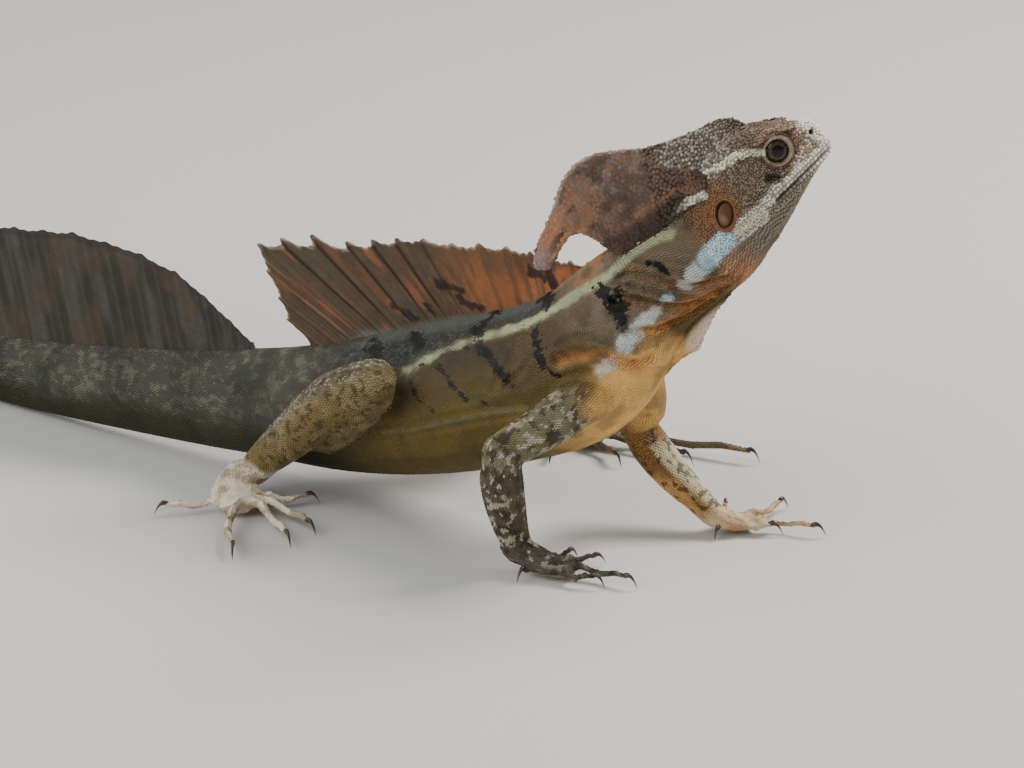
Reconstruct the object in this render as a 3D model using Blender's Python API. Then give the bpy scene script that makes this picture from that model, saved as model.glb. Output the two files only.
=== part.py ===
# A male common basilisk standing on the floor with its head raised and turned to its left.
# All sizes in this file are millimetres; MM turns them into metres as each mesh is made.
# While it is built +X is forward along the trunk, +Y is the animal's left, +Z is up and
# the floor is at z = 0. At the end the whole is moved so that the origin is the centre of
# its footprint, on the floor.

import math
import random

import bmesh
import bpy
from mathutils import Matrix, Vector

MM = 0.001
GAP = 0.3              # between two nodes that meet
CLEAR = 0.4            # how far a cutter copy of a body is swollen, so that GAP is kept
CUTTER_SIZE = 1200.0
MERGE = 0.002          # points closer than this are one
RING = 20              # points round the head, neck, trunk and tail

# Head: the snout's tip, the way that it points and how far it is pitched up
SNOUT = Vector((62.3, 40.0, 141.6))
HEAD_YAW = math.radians(42)
HEAD_PITCH = math.radians(36)
OCCIPUT = 52.0         # from snout to the joint with the neck
MOUTH_LENGTH = 25.0
EYE_BACK, EYE_RISE, EYE_OUT = 15.6, 11.2, 6.2
EYE_RADIUS, EYE_DEPTH = 5.0, 3.8
NECK_SECTION = (-5.4, 14.0, 15.9)      # height of its centre, half width, half depth
SNOUT_RINGS = ((-2.9, 0.34), (-2.0, 0.62), (-0.7, 0.86))    # back, and scale about the centre
SNOUT_CENTRE = 4.6

# Head sections, from snout to ear: distance back, then the height of the top, then the
# half width and height of the crown's edge, the brow, the side at the eye and the cheek,
# then the lip's half width, the jaw's and the under-jaw's half width and height, the bottom
HEAD_SECTIONS = (
    (0.9, 10.8, 2.2, 10.4, 3.8, 8.8, 4.6, 6.4, 4.9, 3.4, 4.6, 3.4, -2.2, 1.9, -2.6, -2.8),
    (4.0, 12.4, 2.6, 12.0, 4.9, 9.9, 5.7, 7.0, 6.2, 3.6, 6.0, 4.9, -2.7, 2.8, -3.4, -3.7),
    (9.0, 15.8, 3.6, 15.2, 6.8, 13.0, 7.0, 9.4, 8.0, 4.6, 8.0, 6.9, -3.2, 4.0, -4.6, -5.0),
    (16.0, 20.6, 4.8, 19.9, 9.2, 17.0, 8.7, 11.6, 10.2, 5.0, 10.6, 9.6, -5.0, 5.6, -7.2, -7.9),
    (23.0, 22.8, 5.2, 22.0, 9.4, 18.6, 10.3, 12.4, 12.1, 5.0, 12.5, 11.6, -7.2, 7.0, -10.2, -11.2),
    (31.0, 23.6, 5.6, 22.2, 9.2, 18.0, 11.6, 12.0, 13.4, 4.4, 13.7, 12.8, -9.2, 8.0, -13.4, -14.8),
    (41.0, 20.6, 6.0, 18.6, 9.8, 14.4, 12.4, 9.0, 13.8, 3.0, 14.0, 12.8, -10.8, 8.0, -16.4, -18.6),
    (52.0, 12.0, 5.0, 11.0, 9.0, 8.0, 12.0, 4.0, 13.6, 0.0, 13.9, 12.8, -11.0, 8.0, -17.6, -21.0),
)

# Crest on the head, in the head's own plane: the outer edge (back, up), the inner edge
# (back, up), then its half thickness at the inner edge, in the middle and at the rim
CREST_STATIONS = (
    (17.6, 20.0, 22.0, 13.0, 4.5, 3.2, 1.6),
    (19.0, 24.4, 26.0, 12.0, 5.5, 3.6, 1.2),
    (22.6, 28.2, 30.0, 11.0, 6.5, 4.0, 1.0),
    (28.2, 30.2, 35.0, 9.0, 7.0, 4.4, 0.9),
    (34.0, 31.0, 41.0, 7.0, 7.0, 4.4, 0.9),
    (41.0, 33.6, 47.0, 5.0, 6.5, 4.0, 0.8),
    (48.0, 35.8, 53.0, 3.0, 5.6, 3.2, 0.6),
    (55.5, 40.6, 60.0, 2.0, 4.6, 2.4, 0.5),
    (62.5, 44.6, 67.0, 4.0, 3.6, 1.8, 0.45),
    (69.5, 45.8, 73.0, 9.0, 2.6, 1.5, 0.45),
    (76.5, 43.8, 77.6, 15.0, 1.8, 1.3, 0.45),
    (82.7, 39.2, 79.4, 21.6, 1.1, 1.1, 0.45),
    (89.4, 35.0, 82.4, 26.4, 0.8, 1.0, 0.45),
    (95.4, 31.6, 87.8, 26.2, 0.6, 0.9, 0.45),
    (99.3, 28.0, 92.4, 23.6, 0.5, 0.8, 0.4),
    (100.6, 24.8, 96.6, 21.6, 0.4, 0.6, 0.35),
)
CREST_CUT = ((50.0, 38.0), (62.0, 4.0))     # the line where the crest leaves the head

# Lids, brow, nostrils and ears, as back, up and out in the head's own plane
LID_OUT, LID_RADIUS, LID_HALF = 8.7, 4.75, 1.25
BROW = ((7.0, 13.2, 6.2, 1.2, 1.0), (13.0, 15.6, 8.2, 1.8, 1.5), (20.0, 17.4, 8.8, 1.8, 1.6),
        (27.0, 17.8, 8.6, 1.4, 1.2))      # back, up, out, half width, half depth
NOSTRIL = (1.6, 7.6, 4.6, 1.1, 0.8, 1.4)        # place, then half length, height and depth
EAR = (41.0, 5.6, 13.6, 2.2, 3.9, 2.4)
EARDRUM = (41.0, 5.6, 12.3, 1.5, 2.9, 0.5)
EAR_TILT = math.radians(36)

# Body, from the neck to the tail's tip: centre x, y, z, half width, half depth, and how
# much the upper half is pinched towards the ridge of the back
BODY_STATIONS = (
    (40.2, 20.2, 114.5, 14.2, 16.0, 0.00),
    (33.4, 13.9, 106.8, 14.0, 15.9, 0.00),
    (25.0, 9.0, 100.6, 14.6, 17.0, 0.10),
    (15.6, 4.0, 92.6, 15.8, 19.2, 0.22),
    (7.6, 1.5, 82.4, 18.2, 22.2, 0.30),
    (0.0, 0.2, 71.4, 20.6, 25.4, 0.36),
    (-12.0, 0.0, 61.2, 22.0, 26.8, 0.40),
    (-30.0, 0.0, 53.4, 23.4, 27.0, 0.42),
    (-50.0, 0.0, 46.2, 24.6, 27.2, 0.42),
    (-70.0, 0.0, 40.0, 24.4, 26.4, 0.40),
    (-88.0, 0.0, 35.2, 22.6, 25.2, 0.38),
    (-105.0, 0.0, 31.2, 20.4, 23.4, 0.36),
    (-121.0, 0.0, 28.6, 18.2, 21.6, 0.34),
    (-137.0, 0.0, 26.6, 15.8, 20.2, 0.32),
    (-165.0, 0.6, 22.9, 12.8, 18.4, 0.30),
    (-213.0, 3.0, 18.0, 10.6, 16.0, 0.28),
    (-260.0, 7.0, 13.8, 9.2, 13.9, 0.26),
    (-305.0, 12.0, 11.9, 8.0, 12.0, 0.24),
    (-360.0, 20.0, 9.8, 6.8, 9.9, 0.22),
    (-425.0, 31.0, 7.7, 5.6, 7.8, 0.20),
    (-490.0, 43.0, 5.9, 4.4, 6.0, 0.15),
    (-555.0, 53.0, 4.3, 3.3, 4.4, 0.10),
    (-620.0, 58.0, 2.9, 2.4, 3.0, 0.05),
    (-675.0, 56.0, 1.8, 1.6, 1.9, 0.00),
    (-716.0, 49.0, 0.95, 0.9, 1.0, 0.00),
)
NECK_START, NECK_END, TRUNK_END = 1.6, 4.5, 13.0     # stations
TAIL_CUTS = (13.0, 17.5, 19.6, 21.4, 24.0)

# Dorsal sail: each ray leaves the back at a distance x and ends at (x, z) on the rim
SAIL_RIM = ((0.6, 103.4), (-4.0, 100.6), (-10.0, 100.4), (-18.0, 100.4), (-26.4, 100.0),
            (-36.0, 100.4), (-47.0, 99.4), (-58.0, 98.0), (-69.5, 97.6), (-80.0, 95.6),
            (-90.0, 93.6), (-101.0, 91.6), (-115.5, 91.2), (-128.5, 88.0), (-138.6, 84.2),
            (-135.0, 75.0), (-130.0, 66.0), (-127.0, 59.0), (-119.0, 54.6))
SAIL_ROOT_FRONT, SAIL_ROOT_BACK = 1.5, -112.0      # x of the first and the last ray's foot
SAIL_SINK = 7.0
SAIL_HALVES = (1.5, 0.85, 0.32)     # half thickness of the membrane at root, middle and rim
SAIL_RAY = (0.9, 0.75, 0.35)        # how far a ray stands out of each face there
SAIL_NOTCH = 1.5                    # how far the rim lies back between two rays

# Tail sail: height of the rim above the ridge of the tail, at body stations
TAIL_SAIL_HEIGHTS = ((13.1, 1.5), (13.5, 12.0), (14.0, 26.5), (14.5, 36.0), (15.0, 40.5),
                     (15.5, 41.5), (16.0, 41.5), (16.6, 40.5), (17.3, 37.5), (18.0, 33.0),
                     (18.7, 27.0), (19.4, 20.0), (20.1, 13.5), (20.8, 7.5), (21.4, 2.6),
                     (21.7, 0.8))
TAIL_RAYS = 28
TAIL_SAIL_SINK = 4.0
TAIL_SAIL_HALVES = (1.3, 0.7, 0.3)
TAIL_SAIL_RAY = (0.7, 0.55, 0.3)
TAIL_SAIL_NOTCH = 0.8
TAIL_RAY_SLOPE = 0.28          # how far the rim lies back from the root, for its height
RAY_FLANK = 0.3                # half the width of a ray's foot, in spaces between rays

# Throat flap: how far its edge hangs below the throat, at stations of the neck
FLAP_DROPS = ((0.95, 0.5), (1.4, 1.9), (1.9, 3.8), (2.4, 6.4), (2.8, 7.8), (3.2, 7.0), (3.6, 4.0),
              (4.0, 1.9), (4.4, 0.6))
FLAP_SINK = 5.0
FLAP_HALVES = (3.0, 1.5, 0.5)       # half thickness at root, middle and edge

# Limbs: each length is a list of centre x, y, z, half width, half depth
UPPER_ARM_RIGHT = ((8, -8, 62, 9.0, 9.5), (4, -21, 57.5, 8.4, 9.0), (-3, -34, 51, 7.4, 7.8),
                   (-10, -44, 46, 6.6, 6.8))
FOREARM_RIGHT = ((-8.5, -44.5, 47, 6.6, 6.6), (-11, -41, 36, 8.2, 7.6), (-12.4, -36, 24, 7.6, 7.0),
                 (-12.4, -32, 14, 6.4, 5.8), (-11.6, -30, 8, 6.0, 5.2))
UPPER_ARM_LEFT = ((8, 8, 62, 9.0, 9.5), (7, 17, 55, 8.4, 8.8), (4, 25, 44, 7.4, 7.6),
                  (-3, 30, 36, 6.6, 6.8))
FOREARM_LEFT = ((-3.5, 30, 37, 6.6, 6.6), (2.4, 30.5, 28.5, 8.0, 7.2), (11, 31.5, 19.5, 7.2, 6.4),
                (20.2, 33.2, 11.5, 5.8, 5.2), (25.5, 34, 7, 5.4, 4.6))
THIGH_RIGHT = ((-110, -6, 28, 12.0, 12.5), (-99, -17, 33, 12.0, 13.2), (-84, -26, 43, 10.6, 12.6),
               (-68, -31.5, 54, 8.2, 9.2))
SHANK_RIGHT = ((-65, -33.5, 58, 7.4, 8.0), (-82, -34, 48, 9.0, 10.0), (-102, -29, 31, 8.0, 9.0),
               (-120, -23, 16, 6.4, 7.0), (-126, -23, 9.5, 6.2, 6.0))
THIGH_LEFT = ((-112, 6, 31, 13.0, 14.0), (-98, 20, 36, 12.0, 13.6), (-80, 35, 43, 10.0, 11.0),
              (-66, 47, 49, 8.0, 8.6))
SHANK_LEFT = ((-64, 49, 50.5, 7.6, 7.8), (-69, 61, 38, 9.0, 8.8), (-75, 73, 23, 7.4, 7.2),
              (-79.6, 83.2, 9.8, 6.3, 5.8))

# Palms and toes: the palm's stations, then for each toe its root (x, y), the end of its
# claw (x, y), the half thickness at the root and how far it bows aside
HAND_RIGHT_PALM = ((-14, -30.5, 9.5, 5.4, 5.2), (-8, -29.5, 6.6, 6.2, 4.8), (-1, -28.5, 4.2, 7.2, 3.9),
                   (5, -27, 3.2, 6.4, 2.9))
HAND_RIGHT_TOES = ((-3, -23, -1, -10.5, 1.9, 0.5), (2, -23, 10, -10.5, 2.0, 1.5),
                   (4, -26, 30, -23.5, 2.1, 1.0), (3, -30, 21, -29.0, 2.1, -2.5),
                   (-6, -31, -5.4, -40.0, 1.9, 0.5))
HAND_LEFT_PALM = ((23.5, 33, 8.6, 4.6, 4.6), (26.5, 35.5, 6.2, 6.0, 4.6), (30, 39, 4.2, 7.0, 3.8),
                  (33.5, 42.5, 3.2, 6.0, 2.8))
HAND_LEFT_TOES = ((28.5, 35.5, 30, 27.5, 1.8, 0.0), (31.5, 38.5, 46.5, 44.5, 2.0, -1.8),
                  (33.5, 41.5, 59.5, 51, 2.1, 1.2), (31.5, 44.5, 35.5, 68, 2.1, -1.5),
                  (26.5, 41.5, 17.5, 56.5, 1.9, 0.5))
FOOT_RIGHT_PALM = ((-131, -23, 9.0, 5.6, 5.4), (-128.5, -29, 7.8, 7.4, 5.4),
                   (-124.5, -35, 6.0, 9.6, 4.8), (-120, -40, 4.6, 8.0, 3.8))
FOOT_RIGHT_TOES = ((-117, -30, -102, -17.0, 2.1, -1.0), (-115, -34, -85.5, -42.0, 2.3, 2.5),
                   (-115, -37, -86, -55.5, 2.4, 1.0), (-118, -41, -95.5, -75.0, 2.5, -3.0),
                   (-126, -36, -142.5, -57.0, 2.2, 2.0))
FOOT_LEFT_PALM = ((-83, 81.4, 7.8, 5.2, 5.0), (-74, 84, 6.2, 6.5, 4.7), (-62, 85, 4.8, 7.6, 4.2),
                  (-54, 86, 3.8, 6.6, 3.4))
FOOT_LEFT_TOES = ((-62, 80, -56.5, 60.0, 2.1, -1.0), (-55, 82, -33.5, 71.0, 2.3, 1.5),
                  (-52, 85, -13, 86.5, 2.4, 1.5), (-53, 89, 6, 101.0, 2.5, 1.5),
                  (-66, 90, -60, 112.0, 2.2, 1.0))
TOE_HEIGHTS = (5.0, 5.4, 3.8, 3.4, 4.8, 4.4)      # of the centre, root to claw
TOE_TAPER = (1.0, 0.98, 0.84, 0.86, 0.84, 0.62)
CLAW_LENGTH = 5.6
DOMES = ((), ((0.55, 0.7),), ((0.8, 0.55), (0.45, 0.85)))     # reach and scale of end rings
WRIST_RIGHT, WRIST_LEFT, ANKLE_RIGHT, ANKLE_LEFT = 11.6, 10.0, 12.6, 11.6   # heights of the cuts


# Curves and frames

def smooth_row(rows, u):
    """The row at a real index u, on a smooth curve through the rows."""
    count = len(rows)
    i = min(max(int(math.floor(u)), 0), count - 2)
    t = u - i
    before, start, end, after = (rows[min(max(k, 0), count - 1)] for k in (i - 1, i, i + 1, i + 2))
    result = []
    for a, b, c, d in zip(before, start, end, after):
        slope_b, slope_c = (c - a) / 2, (d - b) / 2
        cubic = 2 * b - 2 * c + slope_b + slope_c
        square = -3 * b + 3 * c - 2 * slope_b - slope_c
        result.append(((cubic * t + square) * t + slope_b) * t + b)
    return result


def spread(start, end, count):
    """Evenly spaced numbers from start to end."""
    return [start + (end - start) * i / (count - 1) for i in range(count)]


def ease(value):
    value = min(max(value, 0.0), 1.0)
    return value * value * (3 - 2 * value)


def head_axes():
    forward = Vector((math.cos(HEAD_PITCH) * math.cos(HEAD_YAW),
                      math.cos(HEAD_PITCH) * math.sin(HEAD_YAW), math.sin(HEAD_PITCH)))
    left = Vector((-math.sin(HEAD_YAW), math.cos(HEAD_YAW), 0))
    return forward, left, forward.cross(left)


def head_point(back, rise, out=0.0):
    """A point given by its distance back from the snout, its height and its place to the left."""
    forward, left, up = head_axes()
    return SNOUT - forward * back + up * rise + left * out


def body_frame(u):
    """Centre, left, up and backward directions, and the section sizes at body station u."""
    x, y, z, half_width, half_depth, pinch = smooth_row(BODY_STATIONS, u)
    step = 0.02
    ahead = Vector(smooth_row(BODY_STATIONS, max(u - step, 0.0))[:3])
    behind = Vector(smooth_row(BODY_STATIONS, min(u + step, len(BODY_STATIONS) - 1.0))[:3])
    forward = (ahead - behind).normalized()
    left = Vector((0, 0, 1)).cross(forward).normalized()
    up = forward.cross(left)
    return Vector((x, y, z)), left, up, forward, (half_width, half_depth, pinch)


def egg(half_width, half_depth, pinch, count=RING):
    """Points round an egg-shaped section, from the top down the left side and up the right."""
    points = []
    for k in range(count):
        angle = 2 * math.pi * k / count
        narrowing = 1 - pinch * math.cos(angle) ** 3 if math.cos(angle) > 0 else 1.0
        points.append((half_width * math.sin(angle) * narrowing, half_depth * math.cos(angle)))
    return points


def body_ring(u, shift=0.0):
    centre, left, up, forward, (half_width, half_depth, pinch) = body_frame(u)
    centre = centre - forward * shift
    return [centre + left * a + up * b for a, b in egg(half_width, half_depth, pinch)]


def ridge_point(u, sink=0.0):
    """The point on top of the body at station u, or so far below it."""
    centre, left, up, forward, (half_width, half_depth, pinch) = body_frame(u)
    return centre + up * (half_depth - sink)


def ridge_station(x):
    """The body station where the ridge of the back or tail is at x."""
    low, high = 2.0, float(len(BODY_STATIONS) - 1)
    for _ in range(40):
        middle = (low + high) / 2
        if ridge_point(middle).x > x:
            low = middle
        else:
            high = middle
    return low


# Meshes

def add_object(name, points, faces):
    mesh = bpy.data.meshes.new(name)
    mesh.from_pydata([(p[0] * MM, p[1] * MM, p[2] * MM) for p in points], [], faces)
    bm = bmesh.new()
    bm.from_mesh(mesh)
    bmesh.ops.recalc_face_normals(bm, faces=bm.faces)
    bm.to_mesh(mesh)
    bm.free()
    thing = bpy.data.objects.new(name, mesh)
    model.objects.link(thing)
    return thing


def loft(name, rings):
    """A closed solid through rings that have the same number of points."""
    count = len(rings[0])
    points = [p for ring in rings for p in ring]
    faces = []
    for i in range(len(rings) - 1):
        for k in range(count):
            nxt = (k + 1) % count
            faces.append((i * count + k, i * count + nxt, (i + 1) * count + nxt, (i + 1) * count + k))
    faces.append(tuple(range(count)))
    faces.append(tuple((len(rings) - 1) * count + k for k in reversed(range(count))))
    return add_object(name, points, faces)


def limb_length(name, stations, sides=12, rings_between=2, domes=(2, 2)):
    """One length of a limb through centre points with half sizes; domes rings round its ends."""
    count = (len(stations) - 1) * rings_between + 1
    rows = [smooth_row(stations, u) for u in spread(0, len(stations) - 1, count)]
    centres = [Vector(row[:3]) for row in rows]
    start = (centres[0] - centres[1]).normalized()
    end = (centres[-1] - centres[-2]).normalized()
    around = (centres[-1] - centres[0]).normalized()
    steady = Vector((0, 0, 1)) if abs(around.z) < 0.8 else Vector((1, 0, 0))
    rings = []
    for i, row in enumerate(rows):
        tangent = (centres[min(i + 1, count - 1)] - centres[max(i - 1, 0)]).normalized()
        side = steady.cross(tangent).normalized()
        up = tangent.cross(side)
        ring = [(math.sin(2 * math.pi * k / sides) * row[3], math.cos(2 * math.pi * k / sides) * row[4])
                for k in range(sides)]
        caps = [(0.0, 1.0, Vector())]
        if i == 0:
            caps = [(reach, scale, start * row[3]) for reach, scale in DOMES[domes[0]]] + caps
        if i == count - 1:
            caps += [(reach, scale, end * row[3]) for reach, scale in reversed(DOMES[domes[1]])]
        for reach, scale, way in caps:
            rings.append([centres[i] + way * reach + side * a * scale + up * b * scale for a, b in ring])
    return loft(name, rings)


def toe(name, root_x, root_y, tip_x, tip_y, radius, bow):
    """A toe that arches from its root, and the claw that curves down to the floor."""
    root, tip = Vector((root_x, root_y, 0)), Vector((tip_x, tip_y, 0))
    way = (tip - root).normalized()
    aside = Vector((-way.y, way.x, 0))
    flesh = (tip - root).length - CLAW_LENGTH * 0.62
    count = len(TOE_HEIGHTS)
    stations = []
    for i in range(count):
        t = i / (count - 1)
        spot = root + way * flesh * t + aside * bow * math.sin(math.pi * t)
        half = radius * TOE_TAPER[i]
        stations.append((spot.x, spot.y, max(TOE_HEIGHTS[i] * radius / 2.2, half - 0.2), half, half))
    flesh_part = limb_length(name, stations, sides=6, rings_between=1, domes=(0, 1))
    end = Vector(stations[-1][:3])
    claw = []
    for t, half in ((-0.25, 1.05), (0.15, 1.0), (0.5, 0.72), (0.8, 0.42), (1.0, 0.16)):
        drop = end.z * (1 - t * t) + 0.35 * t if t > 0 else end.z
        spot = end + way * CLAW_LENGTH * 0.72 * t
        claw.append((spot.x, spot.y, drop + 0.5 * (1 - t) * max(t, 0), half * 0.8, half))
    return [flesh_part, limb_length(name + "_claw", claw, sides=5, rings_between=1, domes=(0, 0))]


def vane(name, roots, tips, sides, root_half, middle_half, tip_half, rows=5):
    """A thin closed leaf between a line of roots and a line of tips, each a list of points.
    The two faces have the same triangles, so that they never cross."""
    columns = len(roots)
    points, faces = [], []
    for face in (1, -1):
        for j in range(columns):
            for i in range(rows):
                t = i / (rows - 1)
                if t < 0.5:
                    half = root_half[j] + (middle_half[j] - root_half[j]) * t * 2
                else:
                    half = middle_half[j] + (tip_half[j] - middle_half[j]) * (t * 2 - 1)
                points.append(roots[j].lerp(tips[j], t) + sides[j] * half * face)
    far = columns * rows
    for j in range(columns - 1):
        for i in range(rows - 1):
            a, b = j * rows + i, j * rows + i + 1
            c, d = (j + 1) * rows + i + 1, (j + 1) * rows + i
            faces += [(a, b, c), (a, c, d), (far + a, far + c, far + b), (far + a, far + d, far + c)]
        for i in (0, rows - 1):
            a, d = j * rows + i, (j + 1) * rows + i
            faces += [(a, d, far + d), (a, far + d, far + a)]
    for j in (0, columns - 1):
        for i in range(rows - 1):
            a, b = j * rows + i, j * rows + i + 1
            faces += [(a, b, far + b), (a, far + b, far + a)]
    return add_object(name, points, faces)


# Cuts and joins

def apply_modifiers(thing):
    bpy.context.view_layer.update()
    evaluated = thing.evaluated_get(bpy.context.evaluated_depsgraph_get())
    mesh = bpy.data.meshes.new_from_object(evaluated)
    thing.modifiers.clear()
    thing.data = mesh


def keep_largest(thing):
    """Leaves only the largest closed surface of a mesh, and joins points that coincide."""
    bm = bmesh.new()
    bm.from_mesh(thing.data)
    bmesh.ops.remove_doubles(bm, verts=bm.verts, dist=MERGE * MM)
    left = set(bm.faces)
    shells = []
    while left:
        stack = [left.pop()]
        shell = []
        while stack:
            face = stack.pop()
            shell.append(face)
            for edge in face.edges:
                for other in edge.link_faces:
                    if other in left:
                        left.remove(other)
                        stack.append(other)
        shells.append(shell)
    shells.sort(key=lambda shell: sum(face.calc_area() for face in shell), reverse=True)
    scraps = [face for shell in shells[1:] for face in shell]
    bmesh.ops.delete(bm, geom=scraps, context="FACES")
    loose = [vert for vert in bm.verts if not vert.link_faces]
    bmesh.ops.delete(bm, geom=loose, context="VERTS")
    bmesh.ops.triangulate(bm, faces=bm.faces)
    bm.to_mesh(thing.data)
    bm.free()


def boolean(thing, others, operation):
    """Joins a list of closed solids to one, or cuts them from it, and removes them."""
    group = bpy.data.collections.new("operands")
    bpy.context.scene.collection.children.link(group)
    for other in others:
        group.objects.link(other)
    modifier = thing.modifiers.new("join", "BOOLEAN")
    modifier.operation = operation
    modifier.operand_type = "COLLECTION"
    modifier.collection = group
    modifier.solver = "EXACT"
    apply_modifiers(thing)
    for other in others:
        bpy.data.objects.remove(other)
    bpy.data.collections.remove(group)
    keep_largest(thing)


def swollen_copy(thing, amount):
    """A copy whose surface lies so far outside the first one's."""
    bm = bmesh.new()
    bm.from_mesh(thing.data)
    bm.normal_update()
    moves = [vert.normal * amount * MM for vert in bm.verts]
    for vert, move in zip(bm.verts, moves):
        vert.co += move
    mesh = bpy.data.meshes.new(thing.name + "_cutter")
    bm.to_mesh(mesh)
    bm.free()
    copy = bpy.data.objects.new(mesh.name, mesh)
    model.objects.link(copy)
    return copy


def cut_clear(thing, bodies):
    """Cuts a solid back from its neighbours so that it meets them face to face."""
    for body in bodies:
        boolean(thing, [swollen_copy(body, CLEAR)], "DIFFERENCE")


def halve(thing, point, normal):
    """Keeps what lies behind a plane."""
    bm = bmesh.new()
    bmesh.ops.create_cube(bm, size=CUTTER_SIZE * MM)
    turn = normal.to_track_quat("Z", "Y").to_matrix().to_4x4()
    turn.translation = (point + normal * CUTTER_SIZE / 2) * MM
    bmesh.ops.transform(bm, matrix=turn, verts=bm.verts)
    mesh = bpy.data.meshes.new("half_space")
    bm.to_mesh(mesh)
    bm.free()
    boolean(thing, [bpy.data.objects.new("half_space", mesh)], "DIFFERENCE")


def part_at(thing, name, point, normal):
    """Parts a solid by a thin cut: the piece ahead of the plane becomes a new object."""
    ahead = bpy.data.objects.new(name, thing.data.copy())
    model.objects.link(ahead)
    halve(ahead, point + normal * GAP / 2, -normal)
    halve(thing, point - normal * GAP / 2, normal)
    return ahead


def stand_flat(thing):
    """Trims what would reach below the floor, which leaves a small flat there."""
    halve(thing, Vector((-200, 0, 0)), Vector((0, 0, -1)))


# Head

def head_ring(back):
    """Points round the head at a distance from the snout, with the line of the mouth."""
    distances = [row[0] for row in HEAD_SECTIONS]
    i = max(k for k in range(len(distances) - 1) if distances[k] <= max(back, distances[0]))
    u = i + (back - distances[i]) / (distances[i + 1] - distances[i])
    (_, top, crown_w, crown_t, brow_w, brow_t, eye_w, eye_t, cheek_w, cheek_t, lip,
     jaw_w, jaw_t, under_w, under_t, bottom) = smooth_row(HEAD_SECTIONS, u)
    groove = 0.9 * (1 - ease((back - MOUTH_LENGTH + 4) / 4))
    side = ((0, top), (crown_w, crown_t), (brow_w, brow_t), (eye_w, eye_t), (cheek_w, cheek_t),
            (lip, 0.5), (lip - groove, -0.5), (lip - 0.1, -1.4), (jaw_w, jaw_t),
            (under_w, under_t), (0, bottom))
    height, half_width, half_depth = NECK_SECTION
    round_side = egg(half_width, half_depth, 0.0)[:RING // 2 + 1]
    blend = ease((back - 34.0) / (OCCIPUT - 34.0))
    half = [(w + (rw - w) * blend, t + (rt + height - t) * blend)
            for (w, t), (rw, rt) in zip(side, round_side)]
    return half + [(-w, t) for w, t in half[-2:0:-1]]


def place_head_ring(section, back):
    return [head_point(back, t, w) for w, t in section]


def make_head():
    rings = []
    first = head_ring(HEAD_SECTIONS[0][0])
    middle = 2.8
    for back, scale in ((-0.3, 0.45), (0.05, 0.8)):
        rings.append(place_head_ring([(w * scale, middle + (t - middle) * scale) for w, t in first], back))
    distances = (0.9, 2.4, 4.0, 6.5, 9.0, 12.5, 16.0, 19.5, 23.0, 27.0, 31.0, 35.5, 40.0, 44.0, 48.0,
                 OCCIPUT)
    rings += [place_head_ring(head_ring(back), back) for back in distances]
    return loft("head", rings)


def make_crest():
    """The casque and the crest behind it as one leaf, in the head's own plane."""
    rows = [smooth_row(CREST_STATIONS, u) for u in spread(0, len(CREST_STATIONS) - 1, 26)]
    forward, left, up = head_axes()
    return vane("head_crest", [head_point(row[2], row[3]) for row in rows],
                [head_point(row[0], row[1]) for row in rows], [left] * len(rows),
                [row[4] for row in rows], [row[5] for row in rows], [row[6] for row in rows], rows=5)


def ball(name, back, rise, out, size_back, size_rise, size_out, segments=16, rings=8, tilt=0.0):
    """An ellipsoid on the head, with its short axis across the head."""
    mesh = bpy.data.meshes.new(name)
    bm = bmesh.new()
    bmesh.ops.create_uvsphere(bm, u_segments=segments, v_segments=rings, radius=MM)
    forward, left, up = head_axes()
    across = left * (1 if out > 0 else -1)
    lean = Matrix.Rotation(tilt, 3, left)
    turn = lean @ Matrix((forward, up, across)).transposed()
    stretch = Matrix.Diagonal((size_back, size_rise, size_out))
    place = (turn @ stretch).to_4x4()
    place.translation = head_point(back, rise, out) * MM
    bmesh.ops.transform(bm, matrix=place, verts=bm.verts)
    bmesh.ops.recalc_face_normals(bm, faces=bm.faces)
    bm.to_mesh(mesh)
    bm.free()
    thing = bpy.data.objects.new(name, mesh)
    model.objects.link(thing)
    return thing


def make_lids():
    """A ring of lid round each eye."""
    lids = []
    forward, left, up = head_axes()
    for side in (-1, 1):
        bpy.ops.mesh.primitive_torus_add(major_segments=14, minor_segments=6,
                                         major_radius=LID_RADIUS * MM, minor_radius=LID_HALF * MM)
        lid = bpy.context.active_object
        place = Matrix((forward, up, left)).transposed().to_4x4()
        place.translation = head_point(EYE_BACK, EYE_RISE, LID_OUT * side) * MM
        lid.data.transform(place)
        for owner in lid.users_collection:
            owner.objects.unlink(lid)
        lids.append(lid)
    return lids


def make_brows():
    brows = []
    for side in (-1, 1):
        stations = [(*head_point(back, rise, out * side), wide, deep)
                    for back, rise, out, wide, deep in BROW]
        brows.append(limb_length("brow", stations, sides=6, rings_between=1, domes=(1, 1)))
    return brows


# Body

def make_body_length(name, start, end, count):
    """A length of the body, half a gap short of the station at each end."""
    stations = spread(start, end, count)
    rings = [body_ring(start, GAP / 2)] + [body_ring(u) for u in stations[1:-1]]
    return loft(name, rings + [body_ring(end, -GAP / 2)])


def make_neck():
    rings = [place_head_ring(head_ring(OCCIPUT), OCCIPUT + GAP)]
    rings += [body_ring(u) for u in spread(NECK_START, NECK_END, 10)[:-1]]
    return loft("neck", rings + [body_ring(NECK_END, -GAP / 2)])


def make_tail_tip():
    """The last length of the tail, closed by a small round end."""
    stations = spread(TAIL_CUTS[-2], TAIL_CUTS[-1], 10)
    rings = [body_ring(TAIL_CUTS[-2], GAP / 2)] + [body_ring(u) for u in stations[1:]]
    centre, left, up, forward, (half_width, half_depth, pinch) = body_frame(TAIL_CUTS[-1])
    for reach, scale in ((0.5, 0.8), (0.8, 0.4)):
        rings.append([centre - forward * reach + left * a * scale + up * b * scale
                      for a, b in egg(half_width, half_depth, pinch)])
    return loft("tail_4", rings)


# Sails

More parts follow.
